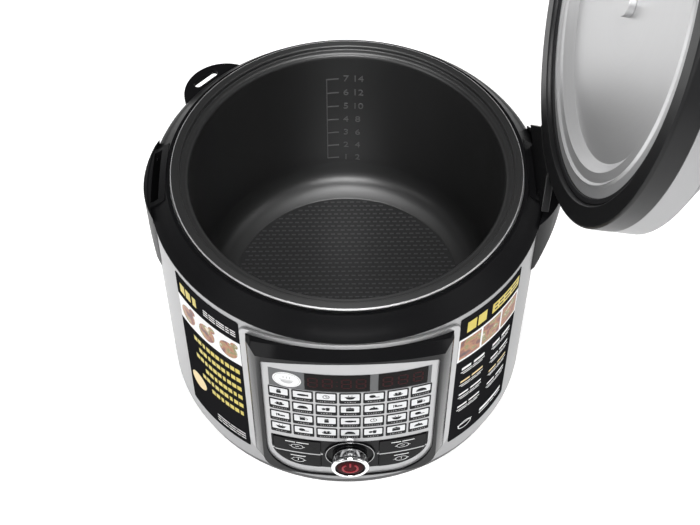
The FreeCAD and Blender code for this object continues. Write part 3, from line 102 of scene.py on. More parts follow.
class CookerColours(PropertyGroup):
    silver: colour("Silver", "Satin metal of the body", (0.32, 0.32, 0.324))
    trim: colour("Trim", "Silver lacquer round the panel", (0.42, 0.42, 0.424))
    black: colour("Black", "Gloss black plastic", (0.006, 0.006, 0.0065))
    base: colour("Base", "Plastic of the base tray", (0.02, 0.02, 0.021))
    coating: colour("Coating", "Non-stick coating of the pot", (0.020, 0.020, 0.0204))
    pot_floor: colour("Pot floor", "Studded floor of the pot", (0.054, 0.054, 0.055))
    bare_edge: colour("Bare edge", "Bright turned edge of the pot's rim", (0.6, 0.6, 0.605))
    # Painted highlight: the raised scale marks are of the same coating, painted lighter to stand for their
    # lit edges
    scale: colour("Scale", "Raised marks on the pot's wall", (0.20, 0.20, 0.20))
    steel: colour("Steel", "Brushed steel of the lid", (0.60, 0.60, 0.605))
    face: colour("Face", "Silver lacquer of the faceplate", (0.42, 0.42, 0.425))
    print_light: colour("Light print", "Light faces of the programme tiles", (0.64, 0.645, 0.655))
    print_dark: colour("Dark print", "Outlines and icons on the panel", (0.012, 0.012, 0.013))
    print_grey: colour("Grey print", "Field behind the display", (0.13, 0.132, 0.135))
    print_white: colour("White print", "Marks on the keys", (0.72, 0.72, 0.72))
    label: colour("Label", "Ground of the two side labels", (0.014, 0.014, 0.015))
    yellow: colour("Yellow", "Bars on the side labels", (0.62, 0.50, 0.045))
    red: colour("Red", "Power button", (0.05, 0.001, 0.003))
    glow: colour("Glow", "Power mark on the button", (0.30, 0.008, 0.02))


class CookerSizes(PropertyGroup):
    edge: length("Edge", "Rounding of the moulded edges", 0.6 * MM)
    fine_edge: length("Fine edge", "Rounding of thin and small pieces", 0.25 * MM)
    spin_steps: bpy.props.IntProperty(
        name="Steps", description="Facets round a turned piece", default=192, min=24)
    print_height: length("Print", "Thickness of a printed mark", 0.04 * MM)
    label_low: length("Label bottom", "Lower edge of the side labels", 28.5 * MM)
    label_high: length("Label top", "Upper edge of the side labels", 189 * MM)
    label_start: angle("Label start", "Edge of a label beside the panel", 32.3)
    label_end: angle("Label end", "Edge of a label beside the handle", 58.5)


class CookerStage(PropertyGroup):
    lens: bpy.props.FloatProperty(
        name="Lens", description="Focal length of the camera in millimetres", default=72.65)
    distance: length("Distance", "Camera in front of the pot's axis", 0.6423)
    height: length("Height", "Camera above the table", 0.9541)
    turn: angle("Turn", "Turn of the camera to the left round the pot's axis", 0.85)
    tilt: angle("Tilt", "Turn of the camera up from straight down", 36.924)
    shift: bpy.props.FloatProperty(
        name="Shift", description="Sideways shift of the camera's frame", default=0.0043)


# Shader maths

def add_node(tree, kind, inputs=None, settings=None, output=0):
    """Add a shader node, set it up, fill its sockets with values or links, and give one of its outputs."""
    made = tree.nodes.new("ShaderNode" + kind)
    for name, setting in (settings or {}).items():
        if name == "stops":
            ramp = made.color_ramp.elements
            while len(ramp) < len(setting):
                ramp.new(1)
            for stop, (place, shade) in zip(ramp, setting):
                stop.position = place
                stop.color = (*shade, 1)
        else:
            setattr(made, name, setting)
    for name, given in (inputs or {}).items():
        if isinstance(given, Wire):
            tree.links.new(given.socket, made.inputs[name])
        else:
            made.inputs[name].default_value = given
    return Wire(tree, made.outputs[output]) if made.outputs else None


class Wire:
    """A shader socket that takes part in Python expressions."""

    def __init__(self, tree, socket):
        self.tree = tree
        self.socket = socket

    def math(self, operation, *values):
        return add_node(self.tree, "Math", dict(enumerate((self, *values))), {"operation": operation})

    def output(self, name):
        """Another output of the same node."""
        return Wire(self.tree, self.socket.node.outputs[name])

    def __add__(self, other):
        return self.math("ADD", other)

    def __mul__(self, other):
        return self.math("MULTIPLY", other)

    def __sub__(self, other):
        return self.math("SUBTRACT", other)

    def __rsub__(self, other):
        return add_node(self.tree, "Math", {0: other, 1: self}, {"operation": "SUBTRACT"})

    def __gt__(self, other):
        return self.math("GREATER_THAN", other)

    def __lt__(self, other):
        return self.math("LESS_THAN", other)

    def __abs__(self):
        return self.math("ABSOLUTE")

    def either(self, other):
        return self.math("MAXIMUM", other)


def distance(first, *others):
    """Length of a vector whose parts are wires."""
    total = first * first
    for part in others:
        total = total + part * part
    return total.math("SQRT")


FINISHES = {}


class Finish:
    """A material with one shader, kept under its name, and the tools that vary it over the surface."""

    def __init__(self, name, base, roughness, **constants):
        material = bpy.data.materials.new(name)
        material.use_nodes = True
        FINISHES[name] = material
        self.tree = material.node_tree
        self.shader = self.tree.nodes["Principled BSDF"]
        self.base = tuple(base)
        self.roughness = roughness
        self.shader.inputs["Base Color"].default_value = (*base, 1)
        self.shader.inputs["Roughness"].default_value = roughness
        for socket, constant in constants.items():
            label = socket.replace("_", " ").title().replace("Ior", "IOR")
            self.shader.inputs[label].default_value = constant

    def node(self, kind, inputs=None, settings=None, output=0):
        return add_node(self.tree, kind, inputs, settings, output)

    def feed(self, socket, wire):
        self.tree.links.new(wire.socket, self.shader.inputs[socket])

    def place(self, scale=1):
        """Object coordinates, in metres, times a scale."""
        spot = self.node("TexCoord", output=3)
        return self.node("Mapping", {"Vector": spot, "Scale": (scale, scale, scale)})

    def parts(self):
        """The three object coordinates, in millimetres."""
        split = self.node("SeparateXYZ", {0: self.place(1 / MM)})
        return [split.output(axis) for axis in "XYZ"]

    def noise(self, scale, vector=None, detail=3.0):
        vector = vector or self.place()
        return self.node("TexNoise", {"Vector": vector, "Scale": scale, "Detail": detail})

    def mix(self, factor, first, second):
        """From the first colour or wire to the second, by a factor of 0 to 1."""
        first, second = (shade if isinstance(shade, Wire) else (*shade, 1) for shade in (first, second))
        return self.node("Mix", {0: factor, 6: first, 7: second}, {"data_type": "RGBA"}, output=2)

    def tinted(self, factor):
        """The base colour, darker or lighter by a factor."""
        return tuple(min(1, value * factor) for value in self.base)

    def rough(self, spread, wire):
        """The roughness, spread about its mean where the wire runs from 0 to 1."""
        self.feed("Roughness", (wire - 0.5) * (2 * spread) + self.roughness)

    def bump(self, height, depth):
        self.feed("Normal", self.node("Bump", {"Strength": 1.0, "Distance": depth, "Height": height}))

    def moulded(self, grain=2600, depth=0.012 * MM, spread=0.05):
        """The faint unevenness of a moulded or lacquered face."""
        clouds = 60
        self.bump(self.noise(grain), depth)
        self.rough(spread, self.noise(clouds, detail=5))

    def brushed(self, vector, amount=0.10, depth=0.01 * MM):
        """Fine parallel scratches along the directions in which the vector is squeezed."""
        spread = 0.06
        lines = self.noise(1.0, vector, detail=4)
        self.feed("Base Color", self.mix(lines, self.tinted(1 - amount), self.tinted(1 + amount)))
        self.bump(lines, depth)
        self.rough(spread, lines)

    def coated(self, wear_and_highlight, wear_and_highlight_colour):
        """A coating with darker and lighter specks, in another colour where the mask is set: real wear on
        the rim's edge, and a painted highlight on top of the floor's studs.
        """
        dark, light, spread = 0.78, 1.25, 0.02
        grain, clouds = 1500, 400
        specks = self.noise(grain, detail=2)
        speckled = self.mix(specks, self.tinted(dark), self.tinted(light))
        self.feed("Base Color", self.mix(wear_and_highlight, speckled, wear_and_highlight_colour))
        self.bump(specks * 0.03, 0.3 * MM)
        self.rough(spread, self.noise(clouds, detail=4))


def ring_place(finish, across, along):
    """A vector for scratches that run round the pot's axis: squeezed along, fine across."""
    x, y, z = finish.parts()
    bearing = x.math("ARCTAN2", y)
    return finish.node("CombineXYZ", {0: bearing * along, 1: distance(x, y) * across, 2: z * across})


def make_finishes(look):
    """Build every material of the cooker once."""
    def plain(name, base, roughness, metallic=0, specular=0.5, **moulding):
        finish = Finish(name, base, roughness, metallic=metallic, specular_ior_level=specular)
        finish.moulded(**moulding)

    plain("silver_lacquer", look.trim, 0.30, 0.75)
    plain("gloss_black", look.black, 0.10, specular=0.10)
    plain("ring_black", look.black, 0.32, specular=0.04)
    plain("key_black", look.black, 0.16, specular=0.04)
    plain("satin_black", look.black, 0.34, specular=0.25, grain=3600, depth=0.02 * MM)
    plain("base_plastic", look.base, 0.45, specular=0.25, depth=0.03 * MM)
    plain("rubber", (0.02, 0.02, 0.02), 0.75, grain=4000, depth=0.05 * MM)
    plain("cast_aluminium", (0.55, 0.55, 0.56), 0.5, 0.9, grain=900, depth=0.06 * MM, spread=0.12)
    plain("heater_tube", (0.23, 0.2, 0.18), 0.45, 0.9, spread=0.15)
    plain("spring_steel", (0.45, 0.45, 0.46), 0.3, 1)
    plain("pale_plastic", (0.7, 0.67, 0.58), 0.5)
    plain("blue_plastic", (0.02, 0.06, 0.2), 0.4)
    plain("black_plastic", (0.015, 0.015, 0.016), 0.5, depth=0.03 * MM)
    plain("zinc", (0.6, 0.6, 0.57), 0.32, 1, spread=0.1)
    plain("varnished_iron", (0.09, 0.085, 0.08), 0.4, 0.5)
    plain("brass", (0.72, 0.58, 0.3), 0.3, 1, spread=0.08)
    plain("chrome", (0.82, 0.82, 0.83), 0.07, 1, depth=0.002 * MM, spread=0.02)
    plain("silicone", (0.014, 0.014, 0.015), 0.5, specular=0.15, depth=0.03 * MM)
    plain("window", (0.005, 0.004, 0.004), 0.12, specular=0.03, depth=0.004 * MM)
    plain("segments", (0.03, 0.004, 0.005), 0.3, specular=0.03)
    # Painted highlight: the lighter colour of the scale marks stands for their lit edges
    plain("pot_scale", look.scale, 0.4, 0.5)
    plain("tile_face", look.print_light, 0.34, 0.3)
    plain("tile_dark", look.print_dark, 0.3, specular=0.03)
    plain("print_white", look.print_white, 0.4)
    plain("badge", (0.82, 0.82, 0.82), 0.3)
    plain("label", look.label, 0.3, specular=0, spread=0.04)
    plain("label_yellow", look.yellow, 0.35)
    plain("label_gold", (0.75, 0.58, 0.26), 0.35, 0.3)
    plain("caption", (0.3, 0.3, 0.3), 0.5, specular=0.1)
    plain("red_mark", look.glow, 0.3, specular=0.2)
    silver = Finish("satin_silver", look.silver, 0.36, metallic=0.92)
    silver.brushed(ring_place(silver, 5.0, 1.2), amount=0.05, depth=0.004 * MM)
    steel = Finish("pressed_steel", look.steel, 0.34, metallic=1.0)
    steel.brushed(ring_place(steel, 4.0, 1.0))
    for special in (coating, studded, lid_steel, faceplate, red_button):
        special(look)
    circuit_board()
    swatch()


def coating(look):
    """Dark non-stick coating over a wall that was spun round the pot's axis, rubbed through to bare metal at
    the rim's edge.
    """
    finish = Finish("non_stick", look.coating, 0.65, metallic=0.75, anisotropic=0.88,
                    anisotropic_rotation=0.25, coat_weight=1.0, coat_roughness=0.34, coat_ior=1.6)
    x, y, z = finish.parts()
    edge_radius, edge_height = 121.8, RIM_HEIGHT / MM - 1.2
    finish.coated((distance(x, y) > edge_radius) * (z > edge_height), look.bare_edge)


def studded(look):
    """The same coating over the pot's floor, with a painted highlight: the tops of its studs are painted
    paler.
    """
    finish = Finish("studded_floor", look.pot_floor, 0.36, metallic=0.75)
    x, y, z = finish.parts()
    # Painted highlight: the stud tops above this height get a paler colour, which stands for the light they
    # catch
    stud_height, paler = FLOOR_TOP / MM + 0.1, 2
    finish.coated(z > stud_height, finish.tinted(paler))


def lid_steel(look):
    """Steel spun round the lid's own axis."""
    finish = Finish("lid_steel", look.steel, 0.42, metallic=0.8)
    x, y, z = finish.parts()
    middle = lid_middle() / MM
    across, along = 3.0, 0.01
    reach = distance(x - middle.x, y, z - middle.z)
    vector = finish.node("CombineXYZ", {0: reach * across, 1: y * along, 2: z * along})
    finish.brushed(vector, amount=0.06, depth=0.006 * MM)


def circuit_board():
    """Green lacquer over a maze of copper tracks."""
    finish = Finish("circuit_board", (0.015, 0.12, 0.045), 0.35)
    tracks = finish.node("TexBrick", {
        "Vector": finish.place(90), "Color1": (0.012, 0.1, 0.04, 1), "Color2": (0.02, 0.16, 0.06, 1),
        "Mortar": (0.05, 0.22, 0.09, 1), "Mortar Size": 0.06}, {"offset": 0.35})
    finish.feed("Base Color", tracks)
    finish.moulded()


def faceplate(look):
    """Silver plate with a grey field behind the display and a black field round the keys."""
    finish = Finish("faceplate", look.face, 0.32, specular_ior_level=0.04)
    x, y, z = finish.parts()
    side = abs(x)
    field_half, field_low, field_high = 54.5, 144.9, 166.8
    keys_half, keys_low, keys_corner, keys_top = 33.0, 64.6, 23.0, 79.4
    line_up, line_half, line_start = 60.1, 0.9, 19.5
    grey = (side < field_half) * (z > field_low) * (z < field_high)
    past, below = (side - keys_half).either(0.0), (keys_low - z).either(0.0)
    keys = (past * past + below * below < keys_corner * keys_corner) * (z < keys_top)
    line = (abs(z - line_up) < line_half) * (side > line_start)
    dark = keys * (1 - line)
    painted = finish.mix(grey, finish.base, look.print_grey)
    finish.feed("Base Color", finish.mix(dark, painted, look.print_dark))
    finish.feed("Metallic", (1 - grey.either(dark)) * 0.7)
    finish.moulded()


def swatch():
    """Mottled warm colours."""
    finish = Finish("label_photo", (0.5, 0.3, 0.2), 0.35)
    cloud = finish.noise(150, detail=6)
    stops = ((0.30, (0.05, 0.012, 0.008)), (0.42, (0.20, 0.04, 0.02)), (0.52, (0.42, 0.17, 0.06)),
             (0.60, (0.16, 0.17, 0.03)), (0.72, (0.75, 0.62, 0.48)))
    finish.feed("Base Color", finish.node("ValToRGB", {"Fac": cloud}, {"stops": stops}))
    finish.moulded()


def red_button(look):
    """Deep red lens, darker towards its edge."""
    finish = Finish("red_button", look.red, 0.16, specular_ior_level=0.03)
    x, y, z = finish.parts()
    middle, darker = KNOB / MM, 0.12
    edge = finish.node("MapRange", {
        "Value": distance(x - middle.x, z - middle.z), "From Min": 6.0, "From Max": 10.0})
    finish.feed("Base Color", finish.mix(edge, finish.base, finish.tinted(darker)))
    finish.moulded(depth=0.004 * MM)


# Modelling tools

def add_object(name, data):
    """Put an object into the scene."""
    made = bpy.data.objects.new(name, data)
    bpy.context.scene.collection.objects.link(made)
    return made


def add_piece(name, bm, finish, body, replaces=(), weighted=True):
    """Make an object of a bmesh, shade it, and let it ride on a body, if one is given."""
    mesh = bpy.data.meshes.new(name)
    bm.to_mesh(mesh)
    bm.free()
    mesh.shade_smooth()
    mesh.set_sharp_from_angle(angle=SMOOTH)
    mesh.materials.append(FINISHES[finish])
    piece = add_object(name, mesh)
    if weighted:
        normals = piece.modifiers.new("weighted_normals", "WEIGHTED_NORMAL")
        normals.keep_sharp = True
    if body:
        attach(piece, body)
    if replaces:
        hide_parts(*replaces)
    return piece


def add_copy(name, node, width, finish, slot, body=BODY, segments=2):
    """Add a copy of a solid, with its sharp edges rounded, in the solid's place."""
    add_piece(name, softened(node, width, segments), finish, body, [node])


def round_off(bm, geom, offset, segments, affect):
    """Round edges or corners by an offset."""
    bmesh.ops.bevel(bm, geom=geom, offset=offset, offset_type="OFFSET", segments=segments, profile=0.5,
                    affect=affect, clamp_overlap=True, material=-1)


def softened(node, width, segments=2, broad=0.0, chosen=None):
    """A copy of a solid with its sharp edges rounded, the chosen ones more broadly."""
    broad_segments = 6
    bm = bmesh.new()
    bm.from_mesh(frame["nodes"][node].data)
    bmesh.ops.remove_doubles(bm, verts=bm.verts[:], dist=MERGE)
    bmesh.ops.dissolve_limit(bm, angle_limit=FLAT, verts=bm.verts[:], edges=bm.edges[:])
    sharp = [edge for edge in bm.edges if edge.is_manifold and edge.calc_face_angle(0) > SHARP]
    groups = [(width, segments, [edge for edge in sharp if not (chosen and chosen(edge))])]
    if chosen:
        groups.insert(0, (broad, broad_segments, [edge for edge in sharp if chosen(edge)]))
    for offset, count, edges in groups:
        round_off(bm, [edge for edge in edges if edge.is_valid], offset, count, "EDGES")
    return bm


def dress(node, finish):
    """Give a solid that keeps its shape its finish."""
    data = frame["nodes"][node].data
    data.materials.clear()
    data.materials.append(FINISHES[finish])


def turned(points, steps):
    """Spin an outline of (radius, height, rounding), in millimetres, round Z."""
    corner_segments = 5
    bm = bmesh.new()
    corners = [bm.verts.new((radius * MM, 0, height * MM)) for radius, height, rounding in points]
    for index, corner in enumerate(corners):
        bm.edges.new((corner, corners[(index + 1) % len(corners)]))
    for corner, (radius, height, rounding) in zip(corners, points):
        if rounding:
            round_off(bm, [corner], rounding * MM, corner_segments, "VERTICES")
    bmesh.ops.spin(bm, geom=bm.verts[:] + bm.edges[:], cent=(0, 0, 0), axis=(0, 0, 1),
                   angle=2 * math.pi, steps=steps, use_merge=True)
    bmesh.ops.remove_doubles(bm, verts=bm.verts[:], dist=MERGE)
    bmesh.ops.recalc_face_normals(bm, faces=bm.faces[:])
    return bm


def lid_middle():
    """Middle of the parked lid's lower edge, found from the steam valve's place on the flat lid."""
    valve = JOINTS["steam_valve_turn"]
    valve_on_lid = Vector((-48 * MM, 0, 65 * MM))
    outwards = Vector(valve["axis"]).normalized()
    down = -Vector(JOINTS["lid_lift"]["axis"]).normalized()
    turn = Matrix((down, outwards.cross(down), outwards)).transposed()
    return Vector(valve["pos_m"]) - turn @ valve_on_lid


class Print:
    """Flat shapes, drawn across and up in metres, given a thickness and bent round an upright axis."""

    def __init__(self, radius, lift, thickness, behind=0.0):
        self.bm = bmesh.new()
        self.radius = radius + behind
        self.behind = behind
        self.lift = lift
        self.thickness = thickness

    def flat(self, across, up, half_width, half_height):
        """From a unit shape in the XY plane to its place in the flat print."""
        stretch = Matrix.Diagonal((half_width, half_height, 1, 1))
        return Matrix.Translation((across, 0, up)) @ UPRIGHT @ stretch

    def bar(self, across, up, width, height, corner=0.0):
        corner_segments = 4
        made = bmesh.ops.create_grid(self.bm, x_segments=1, y_segments=1, size=1,
                                     matrix=self.flat(across, up, width / 2, height / 2))
        if corner:
            round_off(self.bm, made["verts"], corner, corner_segments, "VERTICES")

    def disc(self, across, up, half_width, half_height, steps=28):
        return bmesh.ops.create_circle(self.bm, cap_ends=True, radius=1, segments=steps,
                                       matrix=self.flat(across, up, half_width, half_height))["verts"]

    def ring(self, across, up, half_width, half_height, width, steps=36):
        loops = []
        for less in (0, width):
            verts = bmesh.ops.create_circle(
                self.bm, cap_ends=False, radius=1, segments=steps,
                matrix=self.flat(across, up, half_width - less, half_height - less))["verts"]
            loops += list({edge for vert in verts for edge in vert.link_edges})
        bmesh.ops.bridge_loops(self.bm, edges=loops)

    def half_disc(self, across, up, half_width, half_height, upper=True):
        verts = self.disc(across, up, half_width, half_height)
        faces = {face for vert in verts for face in vert.link_faces}
        edges = {edge for vert in verts for edge in vert.link_edges}
        bmesh.ops.bisect_plane(self.bm, geom=[*verts, *edges, *faces], plane_co=(0, 0, up),
                               plane_no=(0, 0, -1 if upper else 1), clear_outer=True)

    def made(self):
        """The finished bmesh, cut into upright strips so that it follows the curve."""
        bm = self.bm
        edges = [vert.co.x for vert in bm.verts]
        for number in range(math.ceil(min(edges) / STRIP), math.ceil(max(edges) / STRIP)):
            bmesh.ops.bisect_plane(bm, geom=bm.verts[:] + bm.edges[:] + bm.faces[:], dist=MERGE,
                                   plane_co=(number * STRIP, 0, 0), plane_no=(1, 0, 0))
        for face in bm.faces:
            if face.normal.y > 0:
                face.normal_flip()
        raised = bmesh.ops.extrude_face_region(bm, geom=bm.faces[:], use_keep_orig=True)
        moved = [item for item in raised["geom"] if isinstance(item, bmesh.types.BMVert)]
        bmesh.ops.translate(bm, verts=moved, vec=(0, -self.thickness, 0))
        bmesh.ops.recalc_face_normals(bm, faces=bm.faces[:])
        for vert in bm.verts:
            bearing = vert.co.x / self.radius
            reach = self.radius + self.lift - vert.co.y
            vert.co.x = reach * math.sin(bearing)
            vert.co.y = self.behind - reach * math.cos(bearing)
        return bm


def panel_print(lift, thickness):
    """A print on the faceplate, whose curve is flatter than the pot's."""
    return Print(FACE_RADIUS, lift, thickness, PANEL_BEHIND)


def add_print(name, page, finish, body=BODY, replaces=()):
    """Add a print as a piece."""
    add_piece(name, page.made(), finish, body, replaces)


def arc(across):
    """Length along the faceplate's curve to a point that lies this far across, in metres."""
    radius = FACE_RADIUS + PANEL_BEHIND
    return radius * math.asin(across / radius)


# Pieces

class COOKER_OT_body(Operator):
    """Shell, base tray, feet and mains inlet"""
    bl_idname = "cooker.body"
    bl_label = "Body"

    def execute(self, context):
        sizes = context.scene.cooker_sizes
        copies = (
            ("shell", "outer_shell", sizes.fine_edge, "satin_silver", "silver_shell"),
            ("tray", "base_tray", sizes.edge, "base_plastic", "base_plastic"),
            ("feet", "rubber_feet", sizes.edge, "rubber", "rubber"),
            ("inlet", "mains_inlet", sizes.edge, "black_plastic", "inlet_plastic"),
            ("inlet_contacts", "inlet_pins", sizes.fine_edge, "brass", "contact_brass"),
        )
        for row in copies:
            add_copy(*row)
        return {"FINISHED"}


class COOKER_OT_inside(Operator):
    """Finishes of the solids inside, which keep their shapes, and the sensor's coil spring"""
    bl_idname = "cooker.inside"
    bl_label = "Inside"

    def execute(self, context):
        finishes = {
            "pressed_steel": ("outer_pot", "sensor_bracket", "pressure_lid"),
            "cast_aluminium": ("heating_plate", "sensor_cap"),
            "heater_tube": ("heating_element",),
            "spring_steel": ("encoder_shaft",),
            "pale_plastic": ("pressure_switch", "thermal_fuse"),
            "circuit_board": ("power_board", "control_board"),
            "zinc": ("power_board_screws", "control_board_screws", "encoder"),
            "varnished_iron": ("transformer",),
            "blue_plastic": ("heater_relay",),
            "black_plastic": ("key_switches", "display_module"),
        }
        for finish, nodes in finishes.items():
            for node in nodes:
                dress(node, finish)
        low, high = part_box("sensor_spring")
        wire, turns = 1.0 * MM, 4.75
        shape = coil(low, high, wire, turns)
        spring = add_piece("sensor_coil", shape, "spring_steel", None, ["sensor_spring"],
                           weighted=False)
        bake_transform(spring)
        return {"FINISHED"}


def coil(low, high, wire, turns):
    """A coil spring that fills a box, with its axis along Z; wire is its wire's radius."""
    facets, steps_a_turn = 12, 32
    bm = bmesh.new()
    middle = (low + high) / 2
    start = Matrix.Translation((high.x - wire, middle.y, low.z + wire)) @ UPRIGHT
    bmesh.ops.create_circle(bm, cap_ends=False, segments=facets, radius=wire, matrix=start)
    steps = int(turns * steps_a_turn)
    rise = (high.z - low.z - 2 * wire) / steps
    bmesh.ops.spin(bm, geom=bm.verts[:] + bm.edges[:], cent=middle, axis=(0, 0, 1), dvec=(0, 0, rise),
                   angle=turns * math.tau, steps=steps, use_merge=False)
    bmesh.ops.holes_fill(bm, edges=bm.edges[:], sides=facets)
    bmesh.ops.recalc_face_normals(bm, faces=bm.faces[:])
    return bm


class COOKER_OT_pot(Operator):
    """Cooking pot with its stepped rim, its studded floor and the raised scale on its wall"""
    bl_idname = "cooker.pot"
    bl_label = "Cooking pot"

    def execute(self, context):
        sizes = context.scene.cooker_sizes
        low, rim, top = POT_BOTTOM / MM, RIM_HEIGHT / MM, FLOOR_TOP / MM
        wall = (
            (0, low, 0), (112, low, 24), (112, rim - 5.2, 1.0), (118.3, rim - 5.2, 1.0),
            (118.3, rim - 2, 0.6), (122.5, rim - 2, 0.7), (122.5, rim, 0.7), (116.3, rim, 1.1),
            (116.3, rim - 3.2, 0.9), (110, rim - 3.2, 4.0), (110, low + 3, 22), (88.6, low + 3, 0.3),
            (88.0, low + 2.6, 0.2), (0, low + 2.6, 0),
        )
        floor = ((0, low + 2, 0), (87.8, low + 2, 0.1), (87.8, top, 0.2), (0, top, 0))
        pot = turned(wall, sizes.spin_steps)
        studs = add_studs(turned(floor, sizes.spin_steps))
        add_piece("pot", pot, "non_stick", "inner_pot", ["inner_pot"])
        add_piece("pot_floor", studs, "studded_floor", "inner_pot")
        add_piece("pot_scale", pot_scale(), "pot_scale", "inner_pot")
        return {"FINISHED"}


def add_studs(bm):
    """Set staggered rows of short studs on the pot's floor."""
    along, across, reach = 5.2 * MM, 4.1 * MM, 86 * MM
    shape = Matrix.Diagonal((3.2 * MM, 1.25 * MM, 0.6 * MM, 1))
    rows, columns = int(reach / across) + 1, int(reach / along) + 1
    for row in range(-rows, rows):
        for column in range(-columns, columns + 1):
            spot = Vector(((column + row % 2 / 2) * along, (row + 0.5) * across, FLOOR_TOP))
            if spot.xy.length < reach:
                bmesh.ops.create_cube(bm, size=1, matrix=Matrix.Translation(spot) @ shape)
    return bm


def pot_scale():
    """Raised ticks and figures on the pot's back wall."""
    wall, proud = 110 * MM, 0.35 * MM
    marks = Print(wall, -proud, proud * 1.5)
    top, pitch, count = 184.2 * MM, 14.9 * MM, 7
    left, tick = -13.8 * MM, 9.0 * MM
    first, second, tall = -0.8 * MM, -10 * MM, 6.5 * MM
    reach = pitch * (count - 1)
    marks.bar(-left, top - reach / 2, 0.7 * MM, reach)
    for number in range(count):
        up = top - pitch * number
        marks.bar(-(left + tick / 2), up, tick, 0.9 * MM)
        add_figure(marks, str(count - number), first, up, tall)
        add_figure(marks, str(2 * (count - number)), second, up, tall)
    bm = marks.made()
    bmesh.ops.rotate(bm, verts=bm.verts[:], cent=(0, 0, 0), matrix=Matrix.Rotation(math.pi, 3, "Z"))
    return bm


def add_figure(marks, text, across, up, height):
    """Draw a figure into a print seen from inside the pot, so mirrored across."""
    size_of_height = 1.35
    curve = bpy.data.curves.new("figure", "FONT")
    curve.body = text
    curve.size = height * size_of_height
    curve.align_x = "CENTER"
    curve.align_y = "CENTER"
    holder = bpy.data.objects.new("figure", curve)
    mesh = bpy.data.meshes.new_from_object(holder)
    mirror = Matrix.Diagonal((-1, 1, 1, 1))
    mesh.transform(Matrix.Translation((across, 0, up)) @ mirror @ UPRIGHT)
    marks.bm.from_mesh(mesh)
    bpy.data.objects.remove(holder)
    bpy.data.curves.remove(curve)
    bpy.data.meshes.remove(mesh)


class COOKER_OT_ring(Operator):
    """Top ring, both handles and the spoon holder"""
    bl_idname = "cooker.ring"
    bl_label = "Ring and handles"

    def execute(self, context):
        sizes = context.scene.cooker_sizes
        for node in ("top_ring", "left_handle", "right_handle", "spoon_holder"):
            add_copy(f"{node}_moulding", node, sizes.edge, "ring_black", "black_gloss", segments=3)
        return {"FINISHED"}


class COOKER_OT_panel(Operator):
    """Silver trim, black frame, faceplate, display windows and badge"""
    bl_idname = "cooker.panel"
    bl_label = "Control panel"

    def execute(self, context):
        sizes = context.scene.cooker_sizes
        add_copy("trim", "panel_trim", sizes.edge, "silver_lacquer", "silver_trim")
        bevel, bevel_low = 2.6 * MM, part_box("faceplate")[1].z - 5 * MM

        def on_bevel(edge):
            """The two blunt edges of the frame's upper bevel, which are rounded into one another."""
            high = all(vert.co.z > bevel_low for vert in edge.verts)
            return high and edge.calc_face_angle(0) < BLUNT

        surround = softened("panel_frame", sizes.edge, 3, bevel, on_bevel)
        add_piece("panel_surround", surround, "gloss_black", BODY, ["panel_frame"])
        add_copy("face", "faceplate", sizes.fine_edge, "faceplate", "silver_trim")
        for node in ("time_window", "temperature_window"):
            add_copy(f"{node}_lens", node, 0.1 * MM, "window", "smoked_window", segments=1)
        add_print("display_figures", display_figures(sizes), "segments")
        divider = panel_print(0, 0.7 * MM)
        for side in (-1, 1):
            divider.bar(side * arc(37.4 * MM), 60.1 * MM, 33.0 * MM, 1.3 * MM, corner=0.3 * MM)
        add_print("key_divider", divider, "silver_lacquer")
        self.add_badge(sizes)
        return {"FINISHED"}

    def add_badge(self, sizes):
        """A pale oval with a plain mark: a ring, a bowl and three bars above it."""
        across, up, thick = arc(-42.3 * MM), 155.5 * MM, 0.35 * MM
        badge = panel_print(0, thick)
        badge.disc(across, up, 9.8 * MM, 8.6 * MM, steps=48)
        add_print("badge_plate", badge, "badge")
        mark = panel_print(thick, sizes.print_height)
        mark.ring(across, up, 8.9 * MM, 7.7 * MM, 0.35 * MM, steps=48)
        mark.half_disc(across, up - 1.0 * MM, 4.2 * MM, 3.4 * MM, upper=False)
        mark.bar(across, up - 0.2 * MM, 10 * MM, 0.6 * MM)
        for step in (-2.2, 0, 2.2):
            mark.bar(across + step * MM, up + 2.8 * MM, 0.6 * MM, 2.6 * MM)
        add_print("badge_mark", mark, "silver_lacquer")


def display_figures(sizes):
    """Unlit seven-segment figures of the two displays."""
    figures = panel_print(0.4 * MM, sizes.print_height)
    tall, wide, stroke = 10.5 * MM, 6.0 * MM, 1.1 * MM
    middle, colon, dot = 156.4 * MM, arc(-8.9 * MM), 0.7 * MM
    upright = tall / 2 - stroke * 1.2
    for across in (-25, -15.2, -2.6, 7.2, 25.0, 35.2, 45.4):
        start = arc(across * MM)
        for level in (-1, 0, 1):
            figures.bar(start, middle + level * tall / 2, wide - stroke, stroke)
        for side in (-1, 1):
            for level in (-1, 1):
                figures.bar(start + side * wide / 2, middle + level * tall / 4, stroke, upright)
    for level in (-1, 1):
        figures.disc(colon, middle + level * 2.4 * MM, dot, dot, steps=12)
    return figures


